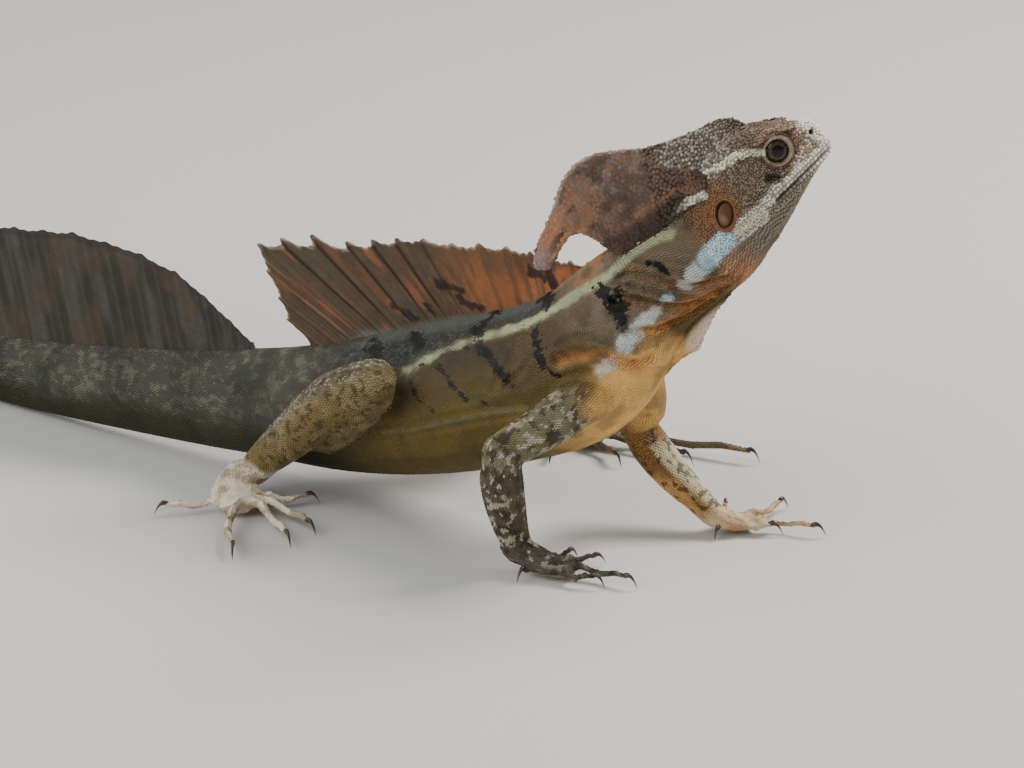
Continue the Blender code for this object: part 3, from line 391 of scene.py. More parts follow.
def crestOnset(back, rise):
    # 1 on the crest and on the smooth brown skin between it, the casque and the ear
    high = np.interp(back, casqueEdge[:, 0], casqueEdge[:, 1])
    low = np.interp(back, (37, 40, 44, 57, 64), (19, 14.5, 10.8, 10.5, 2))
    return step(high - rise, -0.5, 0.9) * step(back, 36.5, 39) * step(rise - low, -1.2, 1.2)


def faceMarks(colour, points):
    back, rise, out = headCoords(points)
    wide = np.abs(out)
    flat = np.stack((back, rise), 1)
    for name, half, soft, ragged, line in headMarkings:
        far = lineDistance(flat, np.array(line, float)) + ragged * (softNoise(points, 1.7, 24) - 0.5) * 2
        if name != "black":
            colour = lay(colour, ("casque", 0.7 * step(half + 1.0 - far, 0, 0.8) * step(wide, 4, 5)))
        colour = lay(colour, (name, step(half + soft - far, 0, 2 * soft) * step(wide, 3, 4.5)))
    reach = earReach(back, rise)
    nose = reachFrom(nostril, back, rise)
    return lay(colour, ("earRim", step(1.55 - reach, 0, 0.25) * step(wide, 7, 9)),
               # painted shade: dark inside the ear's hollow
               ("earIn", step(1.02 - reach, 0, 0.1) * step(wide, 7, 9)),
               # painted shade: the nostril's hollow painted black
               ("black", step(nostril["radius"] + 0.1 - nose, 0, 0.35) * step(wide, 2.2, 3)))


def bodyPigment(points, coarse, medium, grain):
    arc, high, side, depth = bodyCoords(points)
    rise = high / depth
    line = np.interp(arc, stripeCoords[0], stripeCoords[1] / stripeCoords[3])
    above = step(rise - line, -0.03, 0.10)
    grey = lay("backGreen", ("backGrey", step(rise, 0.80, 0.97)),
               ("backGrey", 0.55 * step(grain, 0.55, 0.9)))
    neck = lay("neck", ("crease", 0.30 * step(coarse, 0.5, 0.8)),
               ("flankShade", 0.55 * step(medium, 0.5, 0.8)),
               ("throatOrange", 0.7 * step(-rise, 0.2, 0.8)))
    chest = lay("chest", ("chestShade", 0.55 * step(medium, 0.5, 0.8)))
    patch = softNoise(points, 2.1, 63)
    tail = lay("tail", ("tailGreen", step(-rise + 0.5 * (coarse - 0.5), 0.0, 0.5)),
               ("fleck", 0.75 * step(patch + 0.3 * grain, 0.66, 0.95) * step(rise, -0.5, 0.2)),
               ("tailGreen", 0.6 * step(medium, 0.55, 0.8) * step(0.7 - rise, 0, 0.4)))
    band = 0.5 + 0.5 * np.sin(arc * 2 * math.pi / 34 + 3.5 * coarse)
    tail = tail * (1 - 0.28 * step(band, 0.45, 0.9)[:, None])
    return lay(
        "rust",
        ("flankShade", 0.75 * step(coarse + 0.3 * (medium - 0.5), 0.42, 0.72)),
        ("gold", step(0.22 - rise + 0.5 * (coarse - 0.5), -0.2, 0.5)),
        ("belly", step(-0.5 - rise, -0.1, 0.35)),
        ("flankShade", 0.35 * step(medium, 0.6, 0.85)),
        (grey, above * step(arc, 52, 70)),
        (neck, step(62 - arc + 10 * (coarse - 0.5), 0, 14) * step(rise + 0.6, -0.1, 0.2)),
        (chest, step(-rise - 0.12 + 0.35 * (coarse - 0.5), 0, 0.45) * step(arc, 34, 46)
         * step(98 - arc, 0, 28)),
        ("flap", step(-high - depth - 0.3, 0, 2.2) * step(46 - arc, 0, 8)),
        (tail, step(arc + 14 * (coarse - 0.5), 140, 182)))


def besideLine(points, line, way):
    # how far each point lies to one side of a limb's centre line
    best, aside = np.full(len(points), 1e9), np.zeros(len(points))
    for a, b in zip(np.array(line[:-1], float), np.array(line[1:], float)):
        t = np.clip(((points - a) @ (b - a)) / ((b - a) @ (b - a)), 0, 1)
        offset = points - a - t[:, None] * (b - a)
        far = np.linalg.norm(offset, axis=1)
        aside = np.where(far < best, offset @ np.array(way), aside)
        best = np.minimum(best, far)
    return aside


def limbPigment(points, kind, coarse, medium, grain):
    blots = softNoise(points, 2.1, 61) + 0.22 * (grain - 0.5)
    dots = softNoise(points, 1.5, 62) + 0.12 * (grain - 0.5)
    low = step(20 - points[:, 2], 0, 12)
    if kind in ("leg_right", "leg_left", "foot_right", "foot_left"):
        top = step(besideLine(points, limbLines[kind.replace("foot", "leg")][1], (-0.35, 0, 0.94)), 1.5, 6)
        # painted light and shade: the near foot takes a pale lit colour, the far foot a dark shaded one
        foot = lay("foot" if kind.endswith("right") else "farFoot",
                   ("footMottleAndShade", 0.75 * step(medium + 0.25 * (grain - 0.5), 0.50, 0.72)),
                   # painted shade: the feet darker towards the floor
                   ("footMottleAndShade", 0.6 * step(5.0 - points[:, 2], 0, 3.5)))
        return lay(
            "thigh",
            ("thighLight", 0.7 * step(medium, 0.45, 0.75)),
            ("spot", 0.30 * step(coarse, 0.5, 0.8)),
            ("foreArm", 0.6 * top * step(points[:, 2], 18, 26)),
            ("knee", 0.65 * top * step(grain, 0.55, 0.8) * step(points[:, 2], 20, 30)),
            ("spot", 0.70 * step(dots, 0.63, 0.72) * step(points[:, 2], 12, 18)),
            (foot, step(17 - points[:, 2] + 5 * (medium - 0.5), 0, 6)))
    if kind in ("arm_left", "hand_left"):
        # painted light and shade on the far arm: a pale lit strip down one side, a darker shaded lower part
        litEdge = step(besideLine(points, limbLines["arm_left"][1], (0.72, 0, 0.69)), 2.9, 4.3)
        low = step(11 - points[:, 2], 0, 6)
        return lay(
            "farArm",
            ("farArmShade", 0.75 * step(40 - points[:, 2], 0, 7)
             * step(coarse + 0.5 * medium, 0.45, 0.8)),
            ("armPaleHighlight", 0.85 * litEdge * step(34 - points[:, 2], 0, 6)),
            ("farHand", 0.9 * low),
            # painted highlight: pale tops on the far hand
            ("armPaleHighlight", 0.6 * low * step(medium, 0.5, 0.7)),
            ("spot", 0.75 * step(dots, 0.62, 0.70) * (1 - 0.8 * low)))
    return lay(
        "foreArm",
        ("armLight", step(points[:, 2], 38, 46) * 0.62),
        ("gold", 0.5 * step(medium, 0.5, 0.8)),
        ("hand", low),
        ("spot", 0.75 * step(blots, 0.56, 0.66)),
        ("knee", 0.85 * step(softNoise(points, 1.9, 77) + 0.2 * (grain - 0.5), 0.64, 0.72)
         * step(points[:, 2], 3, 9)),
        # painted light: the near hand's toe tips paler near the floor
        ("handTipHighlight", 0.5 * step(3.4 - points[:, 2], 0, 1.5)))


def startsWith(names, word):
    return np.char.startswith(np.asarray(names).astype(str), word)


def pigment(points, owners):
    points = np.asarray(points, float)
    owners = np.asarray(owners)
    names = owners.astype(str)
    coarse, medium, fine = (softNoise(points, size, seed) for size, seed in ((13, 5), (4.5, 6), (1.5, 7)))
    grain = hashGrid(np.floor(points * 2.7), 9)
    colour = np.zeros((len(points), 3))
    back, rise, out = headCoords(points)
    for name in sorted(set(names)):
        own = names == name
        parts = pick(own, points, coarse, medium, grain)
        if name in ("head", "neck"):
            toBody = step(back[own] + 6 * (parts[2] - 0.5), 47, 57)[:, None]
            colour[own] = headPigment(*parts) * (1 - toBody) + bodyPigment(*parts) * toBody
        if name in ("head", "head_crest"):
            headColour = colour[own] if name == "head" else headPigment(*parts)
            smooth = crestPigment(points[own], back[own], rise[own], out[own], *parts[1:3])
            colour[own] = lay(headColour, (smooth, crestOnset(back[own], rise[own])))
        if name in ("head", "head_crest", "neck"):
            colour[own] = faceMarks(colour[own], parts[0])
        elif name.startswith(("arm", "hand", "leg", "foot")):
            side = np.abs(parts[0][:, 1]) + 5 * (parts[2] - 0.5)
            onBody = (step(27 - side, 0, 7) * step(parts[0][:, 2], 24, 34))[:, None]
            limb = limbPigment(parts[0], name, *parts[1:])
            colour[own] = limb * (1 - onBody) + bodyPigment(*parts) * onBody
        else:
            colour[own] = bodyPigment(*parts)
    body = ~(startsWith(names, "foot") | startsWith(names, "hand") | startsWith(names, "head"))
    wobble = softNoise(points, 1.6, 21) - 0.5 + 0.6 * (softNoise(points, 3.6, 22) - 0.5)
    wobble = wobble + 0.25 * (grain - 0.5)
    for name, half, soft, ragged, line in markings:
        for way in (np.array(line, float), mirrored(line)):
            if name in ("crease", "fold"):
                way = onFlesh(smoothCurve(way, 3))
            low, top = way.min(0) - half - soft - 3, way.max(0) + half + soft + 3
            near = body & (points > low).all(1) & (points < top).all(1)
            if near.any():
                far = lineDistance(points[near], way) + wobble[near] * ragged * 2
                colour[near] = lay(colour[near], (name, step(half + soft - far, 0, 2 * soft)))
    vary = np.where(names == "head_crest", 0.35, 1.0)
    return colour * (1 + vary * (0.16 * (fine - 0.5) + 0.12 * (grain - 0.5)))[:, None]


# Limbs: centre lines from the body outwards, and toes from root to claw

limbLines = {
    "arm_right": (((8, -8, 62), (4, -21, 57.5), (-3, -34, 51), (-10, -44, 46)),
                  ((-8.5, -44.5, 47), (-11, -41, 36), (-12.4, -36, 24), (-12.4, -32, 14), (-11.6, -30, 8))),
    "arm_left": (((8, 8, 62), (7, 17, 55), (4, 25, 44), (-3, 30, 36)),
                 ((-3.5, 30, 37), (2.4, 30.5, 28.5), (11, 31.5, 19.5), (20.2, 33.2, 11.5), (25.5, 34, 7))),
    "leg_right": (((-110, -6, 28), (-99, -17, 33), (-84, -26, 43), (-68, -31.5, 54)),
                  ((-65, -33.5, 58), (-82, -34, 48), (-102, -29, 31), (-120, -23, 16), (-126, -23, 9.5))),
    "leg_left": (((-112, 6, 31), (-98, 20, 36), (-80, 35, 43), (-66, 47, 49)),
                 ((-64, 49, 50.5), (-69, 61, 38), (-75, 73, 23), (-79.6, 83.2, 9.8)))}
palmLines = {
    "hand_right": ((-14, -30.5, 9.5), (-8, -29.5, 6.6), (-1, -28.5, 4.2), (5, -27, 3.2)),
    "hand_left": ((23.5, 33, 8.6), (26.5, 35.5, 6.2), (30, 39, 4.2), (33.5, 42.5, 3.2)),
    "foot_right": ((-131, -23, 9.0), (-128.5, -29, 7.8), (-124.5, -35, 6.0), (-120, -40, 4.6)),
    "foot_left": ((-83, 81.4, 7.8), (-74, 84, 6.2), (-62, 85, 4.8), (-54, 86, 3.8))}
toeLines = {      # root x, y, claw tip x, y, radius and how far it bows aside
    "hand_right": ((-3, -23, -1, -10.5, 1.9, 0.5), (2, -23, 10, -10.5, 2.0, 1.5),
                   (4, -26, 30, -23.5, 2.1, 1.0), (3, -30, 21, -29.0, 2.1, -2.5),
                   (-6, -31, -5.4, -40.0, 1.9, 0.5)),
    "hand_left": ((28.5, 35.5, 30, 27.5, 1.8, 0.0), (31.5, 38.5, 46.5, 44.5, 2.0, -1.8),
                  (33.5, 41.5, 59.5, 51, 2.1, 1.2), (31.5, 44.5, 35.5, 68, 2.1, -1.5),
                  (26.5, 41.5, 17.5, 56.5, 1.9, 0.5)),
    "foot_right": ((-117, -30, -102, -17.0, 2.1, -1.0), (-115, -34, -85.5, -42.0, 2.3, 2.5),
                   (-115, -37, -86, -55.5, 2.4, 1.0), (-118, -41, -95.5, -75.0, 2.5, -3.0),
                   (-126, -36, -142.5, -57.0, 2.2, 2.0)),
    "foot_left": ((-62, 80, -56.5, 60.0, 2.1, -1.0), (-55, 82, -33.5, 71.0, 2.3, 1.5),
                  (-52, 85, -13, 86.5, 2.4, 1.5), (-53, 89, 6, 101.0, 2.5, 1.5),
                  (-66, 90, -60, 112.0, 2.2, 1.0))}
toeLook = {"heights": (5.0, 5.4, 3.8, 3.4, 4.8, 4.4), "taper": (1.0, 0.98, 0.84, 0.86, 0.84, 0.62),
           "radius": 2.2, "press": 0.2, "claw": 5.6, "inClaw": 0.62}


def toeCentres(numbers):
    rootX, rootY, tipX, tipY, radius, bow = numbers
    root, tip = np.array((rootX, rootY, 0.0)), np.array((tipX, tipY, 0.0))
    way = unit(tip - root)
    aside = np.array((-way[1], way[0], 0))
    look = toeLook
    flesh = np.linalg.norm(tip - root) - look["claw"] * look["inClaw"]
    centres = []
    for i, (height, taper) in enumerate(zip(look["heights"], look["taper"])):
        t = i / (len(look["heights"]) - 1)
        high = max(height * radius / look["radius"], radius * taper - look["press"])
        centres.append(root + way * flesh * t + aside * bow * math.sin(math.pi * t)
                       + np.array((0, 0, high)))
    return np.array(centres), way


# Skin: one surface over all the flesh, a little inside the solids

skinLook = {"voxel": 0.68, "swell": 0.42, "sink": 0.66, "sinkCrest": 0.22, "rounds": 22,
            "holdEnds": 0.35, "holdCrest": 0.6, "spreads": 8, "triangles": 196000, "spareEnds": 0.6,
            "fineTo": 75}
clawCut = {"at": 0.5, "from": -2.5, "round": 2.6, "reach": 0.7}
fleshNodes = ("head", "head_crest", "neck", "torso", "throat_flap", "tail_1", "tail_2", "tail_3",
              "tail_4", "arm_right", "hand_right", "arm_left", "hand_left", "leg_right", "foot_right",
              "leg_left", "foot_left")


def meshArrays(mesh):
    points = np.zeros(len(mesh.vertices) * 3)
    mesh.vertices.foreach_get("co", points)
    normals = np.zeros(len(mesh.vertices) * 3)
    mesh.vertices.foreach_get("normal", normals)
    return points.reshape(-1, 3), normals.reshape(-1, 3)


def placePoints(mesh, points):
    mesh.vertices.foreach_set("co", np.asarray(points, float).ravel())
    mesh.update()


def takeMesh(name, bm, smooth=False):
    mesh = bpy.data.meshes.new(name)
    bm.to_mesh(mesh)
    bm.free()
    if smooth:
        mesh.shade_smooth()
    return mesh


def joinInto(joined, bm):
    part = takeMesh("part", bm)
    joined.from_mesh(part)
    bpy.data.meshes.remove(part)


def storePigment(mesh, colour):
    store = mesh.color_attributes.new("pigment", "FLOAT_COLOR", "POINT")
    store.data.foreach_set("color", np.concatenate((colour, np.ones((len(colour), 1))), 1).ravel())


def addPiece(name, mesh):
    piece = bpy.data.objects.new(name, mesh)
    bpy.context.scene.collection.objects.link(piece)
    return piece


def bakeModifiers(piece):
    bpy.context.view_layer.update()
    made = bpy.data.meshes.new_from_object(piece.evaluated_get(bpy.context.evaluated_depsgraph_get()))
    piece.modifiers.clear()
    piece.data = made


def relax(points, edges, rounds, hold=None):
    # smooths and swells in turn, so that nothing shrinks
    count = np.zeros(len(points))
    np.add.at(count, edges.ravel(), 1)
    count = np.maximum(count, 1)[:, None]
    for r in range(rounds * 2):
        total = np.zeros_like(points)
        for axis in range(3):
            total[:, axis] = (np.bincount(edges[:, 0], points[edges[:, 1], axis], len(points))
                              + np.bincount(edges[:, 1], points[edges[:, 0], axis], len(points)))
        shift = (total / count - points) * (0.5 if r % 2 == 0 else -0.52)
        points = points + (shift if hold is None else shift * hold[:, None])
    return points


def spread(values, edges):
    # each point's value becomes the mean of its neighbours' and its own
    total = values + np.bincount(edges[:, 0], values[edges[:, 1]], len(values))
    total += np.bincount(edges[:, 1], values[edges[:, 0]], len(values))
    return total / (1 + np.bincount(edges.ravel(), minlength=len(values)))


def fleshTree():
    points, faces, owners = [], [], []
    for name in fleshNodes + ("eye_right", "eye_left"):
        mesh = nodes[name].data
        start = len(points)
        points += [vert.co[:] for vert in mesh.vertices]
        faces += [[start + k for k in poly.vertices] for poly in mesh.polygons]
        owners += [name] * len(mesh.polygons)
    return BVHTree.FromPolygons(points, faces), np.array(owners)


nodeTree, nodeOwners = fleshTree()


def ownersOf(points):
    return np.array([nodeOwners[nodeTree.find_nearest(p)[2]] for p in points])


def onFlesh(points):
    return toModel([nodeTree.find_nearest(Vector(spot))[0][:] for spot in toWorld(points)])


creases = (      # depth, half width, then the line on the right side
    (2.2, 1.1, ((13, -12.5, 103), (20, -11, 103.5), (27, -6, 101), (37, 0, 99), (45, 7, 101))),
    (2.5, 1.2, ((14, -13, 94), (20, -11, 95), (27, -7, 93), (34, 0, 92), (43, 8, 98))),
    (2.3, 1.3, ((19, -12.5, 84), (26, -7, 84), (31, 0, 87), (38, 7, 93))),
    (1.3, 0.9, ((18, -10.5, 99), (27, -7, 97), (35, -1, 95.5), (42, 5, 98))),
    (1.7, 1.5, ((-3, -21, 72), (5, -19, 75), (11, -17, 76), (18, -13, 73), (25, -7, 74))),
    (0.9, 1.1, ((-4, -20, 78), (4, -18, 81), (11, -16, 81), (18, -12, 78))),
    (0.9, 1.0, ((6, -14.5, 98), (12, -13.5, 99), (20, -11, 99))),
    (0.8, 1.0, ((18, -9, 108), (25, -6, 108), (33, 0, 107), (40, 4, 106))),
    (0.6, 1.1, ((-22, -21, 60), (-16, -21, 67), (-13, -19, 75))),
    (0.5, 1.1, ((-27, -22, 58), (-24, -21, 66), (-22, -18, 75))),
    (-0.5, 1.0, ((-71, -24, 35), (-59, -24, 38), (-46, -24, 43), (-35, -23, 47), (-26, -23, 50),
                 (-14, -22, 53))))


def headRelief(points):
    # how far the skin sinks at the mouth, nostrils and ears, and stands out round them
    back, rise, out = headCoords(points)
    side = np.abs(out) > 2.2
    inMouth = step(mouth["end"] + 0.5 - back, 0, 1.5)
    gap = overMouth(back, rise)
    push = mouth["depth"] * np.exp(-(gap / mouth["half"]) ** 2) * inMouth
    push -= mouth["lipBulge"] * np.exp(-((gap - 1.3) / 0.9) ** 2) * inMouth
    push -= 0.6 * mouth["lipBulge"] * np.exp(-((gap + 1.3) / 0.8) ** 2) * inMouth
    far = reachFrom(nostril, back, rise) / nostril["radius"]
    push += np.where(side, nostril["depth"] * np.exp(-far ** 4)
                     - nostril["rim"] * np.exp(-((far - 1.7) / 0.5) ** 2), 0)
    reach = earReach(back, rise)
    beside = np.abs(out) > 7
    push += np.where(beside, ear["depth"] * step(1.02 - reach, 0, 0.22)
                     - ear["rim"] * np.exp(-((reach - 1.22) / 0.16) ** 2), 0)
    lidFar = reachFrom(eyeSpot, back, rise)
    push += np.where(side, 0.35 * np.exp(-((lidFar - 6.6) / 0.5) ** 2) * step(8.5 - rise, -6, 3), 0)
    folds = np.sin(rise * 2.0 + back * 0.35)
    push += np.where(beside, 0.10 * folds * step(back, 27, 32) * step(11 - rise, 0, 3), 0)
    return push


gapShade = {      # how light the skin between the scales is
    "head_crest": 0.95, "torso": 0.72, "neck": 0.5, "head": 0.42, "throat_flap": 0.9, "hand_right": 0.7,
    "hand_left": 0.8, "foot_right": 0.8, "foot_left": 0.8, "tail_1": 0.65, "tail_2": 0.6}


def cutClaw(bm, centres, way):
    # the skin's toe ends where its claw begins
    end, tip = centres[-1], centres[-1] * (1, 1, 0) + way * toeLook["claw"] * clawCut["reach"]
    faces = []
    for face in bm.faces:
        spot = toModel(face.calc_center_median())
        near = lineDistance(spot[None], np.array((end, tip)))[0] < clawCut["round"]
        if near and (spot - end) @ way > clawCut["from"]:
            faces.append(face)
    # taken in the order of the faces, so that each run gives the same skin
    around = dict.fromkeys(part for face in faces for part in (*face.verts, *face.edges))
    bmesh.ops.bisect_plane(bm, geom=faces + list(around), plane_co=toWorld(end + way * clawCut["at"]),
                           plane_no=way, clear_outer=True)
    bmesh.ops.holes_fill(bm, edges=[edge for edge in bm.edges if edge.is_boundary])


def makeSkin():
    look = skinLook
    joined = bmesh.new()
    for name in fleshNodes:
        bm = bmesh.new()
        bm.from_mesh(nodes[name].data)
        bmesh.ops.remove_doubles(bm, verts=bm.verts, dist=0.002 * mm)
        for numbers in toeLines.get(name, ()):
            cutClaw(bm, *toeCentres(numbers))
        bm.normal_update()
        moves = [vert.normal * look["swell"] * mm for vert in bm.verts]
        for vert, move in zip(bm.verts, moves):
            vert.co += move
        joinInto(joined, bm)
    skin = addPiece("skin", takeMesh("skin", joined))
    remesh = skin.modifiers.new("one surface", "REMESH")
    remesh.mode = "VOXEL"
    remesh.voxel_size = look["voxel"] * mm
    bakeModifiers(skin)
    mesh = skin.data
    points, normals = meshArrays(mesh)
    edges = np.zeros(len(mesh.edges) * 2, np.int64)
    mesh.edges.foreach_get("vertices", edges)
    edges = edges.reshape(-1, 2)
    owners = ownersOf(points)
    ends = startsWith(owners, "hand") | startsWith(owners, "foot")
    hold = np.where(ends, look["holdEnds"], np.where(owners == "head_crest", look["holdCrest"], 1.0))
    points = relax(points, edges, look["rounds"], hold)
    placePoints(mesh, points)
    points, normals = meshArrays(mesh)
    depth = np.where(owners == "head_crest", look["sinkCrest"], look["sink"])
    for _ in range(look["spreads"]):
        depth = spread(depth, edges)
    points = points - normals * ((look["swell"] + depth) * mm)[:, None]
    model = toModel(points)
    for depth, half, line in creases:
        for way in (np.array(line, float), mirrored(line)):
            far = lineDistance(model, onFlesh(smoothCurve(way, 4)))
            swell = 0.4 * depth * np.exp(-((far - 2.2 * half) / half) ** 2)
            push = depth * np.exp(-(far / half) ** 2) - swell
            points = points - normals * (push * mm)[:, None]
    onHead = owners == "head"
    points[onHead] -= normals[onHead] * (headRelief(model[onHead]) * mm)[:, None]
    placePoints(mesh, points)
    print("skin", len(mesh.polygons), "faces")
    group = skin.vertex_groups.new(name="coarse")
    back, rise, out = headCoords(model)
    care = (owners == "head") | ((owners == "neck") & (back < look["fineTo"]))
    for index in np.nonzero(~care & ~ends)[0].tolist():
        group.add((index,), 1.0, "REPLACE")
    for index in np.nonzero(ends)[0].tolist():
        group.add((index,), look["spareEnds"], "REPLACE")
    thin = skin.modifiers.new("thin", "DECIMATE")
    thin.ratio = look["triangles"] / (2 * len(mesh.polygons))
    thin.vertex_group = "coarse"
    thin.vertex_group_factor = 4.0
    bakeModifiers(skin)
    mesh = skin.data
    skin.vertex_groups.clear()
    mesh.shade_smooth()
    points, normals = meshArrays(mesh)
    owners = ownersOf(points)
    colours = pigment(toModel(points), owners)
    storePigment(mesh, colours * np.array([gapShade.get(name, 0.5) for name in owners])[:, None])
    print("skin thinned", len(mesh.polygons), "faces, on the head", int((owners == "head").sum()), "points")
    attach(skin, "root")
    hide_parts(*fleshNodes)
    return skin


def treeOf(piece):
    points = [vert.co[:] for vert in piece.data.vertices]
    return BVHTree.FromPolygons(points, [poly.vertices[:] for poly in piece.data.polygons])


# Scales: closed little solids, laid in rows by rays from the axis of each part

scaleForms = {      # width of the top beside the foot, heights of its front and rear, how it lifts
    "keeled": {"sides": 6, "ridge": 0.0, "front": 0.45, "rear": 1.0, "lift": 0.35},
    "plate": {"sides": 6, "ridge": 0.72, "front": 0.5, "rear": 0.6, "lift": 0.15},
    "dome": {"sides": 6, "ridge": 0.74, "front": 0.62, "rear": 0.62, "lift": 0.0, "crown": 1.0}}


def makeForm(look):
    bm = bmesh.new()
    bmesh.ops.create_cone(bm, cap_ends=True, segments=look["sides"], radius1=0.5, radius2=0.25, depth=1.0,
                          matrix=Matrix.Rotation(math.pi / 2, 4, "Z"))
    for vert in bm.verts:
        top = vert.co.z > 0
        along = vert.co.x
        if top and look["ridge"] == 0.0:
            vert.co = Vector((math.copysign(0.30, along if abs(along) > 0.01 else 1), 0, 0))
        elif top:
            vert.co = Vector((vert.co.x, vert.co.y, 0)) * (2 * look["ridge"])
        if top:
            vert.co.z = look["front"] + (look["rear"] - look["front"]) * (vert.co.x / 0.6 + 0.5)
        else:
            vert.co.z = -0.35 + look["lift"] * max(vert.co.x, 0) * 2
    bmesh.ops.remove_doubles(bm, verts=bm.verts, dist=0.02)
    if "crown" in look:
        bm.faces.ensure_lookup_table()
        top = max(bm.faces, key=lambda face: face.calc_center_median().z)
        poked = bmesh.ops.poke(bm, faces=[top])
        poked["verts"][0].co.z = look["crown"]
    bmesh.ops.triangulate(bm, faces=bm.faces)
    bmesh.ops.recalc_face_normals(bm, faces=bm.faces)
    points = np.array([vert.co[:] for vert in bm.verts])
    faces = np.array([[vert.index for vert in face.verts] for face in bm.faces])
    bm.free()
    return points, faces


forms = {name: makeForm(look) for name, look in scaleForms.items()}


scaleUnwrap = 0.003     # size of one scale on the unwrap


def buildCoat(name, form, roots, material, smooth=False, edge=0.38):
    # roots: place, normal, lie, size (length, width, height in metres), colour, place on the unwrap
    shape, faces = forms[form]
    place, normal, lie, size, colour, spot = (np.asarray(part, float) for part in roots)
    across = unit(np.cross(normal, lie))
    lie = np.cross(across, normal)
    many, each = len(place), len(shape)
    local = shape[None] * size[:, None, :]
    points = (place[:, None] + local[..., :1] * lie[:, None] + local[..., 1:2] * across[:, None]
              + local[..., 2:] * normal[:, None])
    index = (faces[None] + np.arange(many)[:, None, None] * each).reshape(-1)
    mesh = bpy.data.meshes.new(name)
    mesh.vertices.add(many * each)
    mesh.vertices.foreach_set("co", points.ravel())
    mesh.loops.add(len(index))
    mesh.loops.foreach_set("vertex_index", index.astype(np.int32))
    mesh.polygons.add(len(index) // 3)
    mesh.polygons.foreach_set("loop_start", np.arange(0, len(index), 3, dtype=np.int32))
    mesh.update(calc_edges=True)
    # painted shade: the foot of each scale is darker than its top, by the factor edge
    shade = np.where(shape[:, 2] > 0.2, 1.0, edge)
    tint = np.repeat(colour, each, 0) * np.tile(shade, many)[:, None]
    storePigment(mesh, tint)
    unwrap = mesh.uv_layers.new(name="OFBake")
    corner = spot[:, None] + shape[None, :, :2] * scaleUnwrap
    unwrap.data.foreach_set("uv", corner.reshape(-1, 2)[index].ravel())
    mesh.polygons.foreach_set("use_smooth", np.full(len(index) // 3, smooth))
    mesh.materials.append(material)
    piece = addPiece(name, mesh)
    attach(piece, "root")
    print(name, many, "scales", len(index) // 3, "triangles")
    return piece


# Scales round a row: few different counts, so that neighbouring rows stay in step
rowCounts = [6, 7, 8, 9, 10, 11, 12, 13, 14, 16, 18, 20, 22, 25, 28, 31, 35, 39, 44, 49, 55, 62, 69, 77,
             86, 96, 107, 120, 134, 150]
probes = 25             # rays round each row that measure its girth, the last the same as the first
longestRay = 1.7        # to the middle one, so that a ray down a limb doesn't count


def wrapRows(tree, axis, look, allowed, keep=None):
    # axis: model points from head to tail or root to toe; look: row, pitch, reach, high
    line = smoothCurve(axis, 6)
    arc = lengthsAlong(line)
    ahead = unit(np.gradient(line, axis=0))
    rows = max(2, int(arc[-1] / look["row"]))
    steady = np.array(look.get("steady", (0, 0, 1)), float)
    found = []
    for r in range(rows):
        s = (r + 0.5) * arc[-1] / rows
        centre = pointAt(s, arc, line)
        way = unit(pointAt(s, arc, ahead))
        side = unit(np.cross(steady, way))
        up = np.cross(way, side)
        origin = Vector(toWorld(centre))
        probe = np.linspace(0, 2 * math.pi, probes)
        radii = []
        for a in probe[:-1]:
            hit = tree.ray_cast(origin, Vector(side * math.sin(a) + up * math.cos(a)), look["reach"] * mm)
            radii.append(hit[3] / mm if hit[0] is not None else np.nan)
        radii = np.array(radii)
        if np.isnan(radii).all():
            continue
        radii = np.where(np.isnan(radii), np.nanmedian(radii), radii)
        radii = np.append(np.minimum(radii, longestRay * np.median(radii)), radii[0])
        ring = np.stack((radii * np.sin(probe), radii * np.cos(probe)), 1)
        around = lengthsAlong(ring)
        wanted = around[-1] / look["pitch"]
        count = min(rowCounts, key=lambda n: abs(n - wanted))
        for j in range(count):
            share = (j + 0.5 * (r % 2)) / count * around[-1]
            a = np.interp(share, around, probe)
            hit = tree.ray_cast(origin, Vector(side * math.sin(a) + up * math.cos(a)), look["reach"] * mm)
            if hit[0] is not None:
                found.append((hit[0], hit[1], way, around[-1] / count, r / rows, a / (2 * math.pi)))
    return finishRoots(found, look, allowed, keep, arc[-1] / rows)


def finishRoots(found, look, allowed, keep, rowGap):
    if not found:
        return None
    place = np.array([item[0][:] for item in found])
    normal = unit(np.array([item[1][:] for item in found]))
    lie = np.array([item[2] for item in found])
    wide = np.array([item[3] for item in found])
    spot = np.array([(item[4], item[5]) for item in found])
    owners = ownersOf(place)
    good = np.isin(owners, allowed)
    model = toModel(place)
    if keep is not None:
        good &= keep(model)
    place, normal, lie, wide, spot = pick(good, place, normal, lie, wide, spot)
    owners, model = pick(good, owners, model)
    vary = varied(np.random.default_rng(len(found)), len(place), 0.10)
    long = np.full(len(place), rowGap * look.get("overlap", 1.45))
    size = np.stack((long, wide * look.get("broad", 1.06), np.full(len(place), look["high"])), 1)
    size = size * vary * mm
    return [place, normal, lie, size, pigment(model, owners), np.clip(spot, 0.004, 0.996)]


def resample(points, gap):
    arc = lengthsAlong(points)
    count = max(2, int(round(arc[-1] / gap)))
    at = (np.arange(count) + 0.5) * arc[-1] / count
    return np.array([pointAt(s, arc, points) for s in at])


def plateRow(tree, path, look, colour=None, spot=(0.5, 0.5)):
    # one row of plates along a line that lies on the surface
    places = resample(np.asarray(path, float), look["gap"])
    lies = unit(np.gradient(places, axis=0))
    hits = [tree.find_nearest(Vector(toWorld(p))) for p in places]
    place = np.array([hit[0][:] for hit in hits])
    normal = unit(np.array([hit[1][:] for hit in hits]))
    draw = np.random.default_rng(len(places))
    size = np.array((look["gap"] * 1.02, look["wide"], look["high"]))
    size = size * varied(draw, len(places), look.get("vary", 0.08))
    shown = pigment(toModel(place), np.full(len(place), "head")) if colour is None else colour
    shown = shown * varied(draw, len(places), 0.10)
    spots = np.tile(spot, (len(places), 1)) + 0.02 * draw.random((len(places), 2))
    return [place, normal, lies, size * mm, shown, spots]


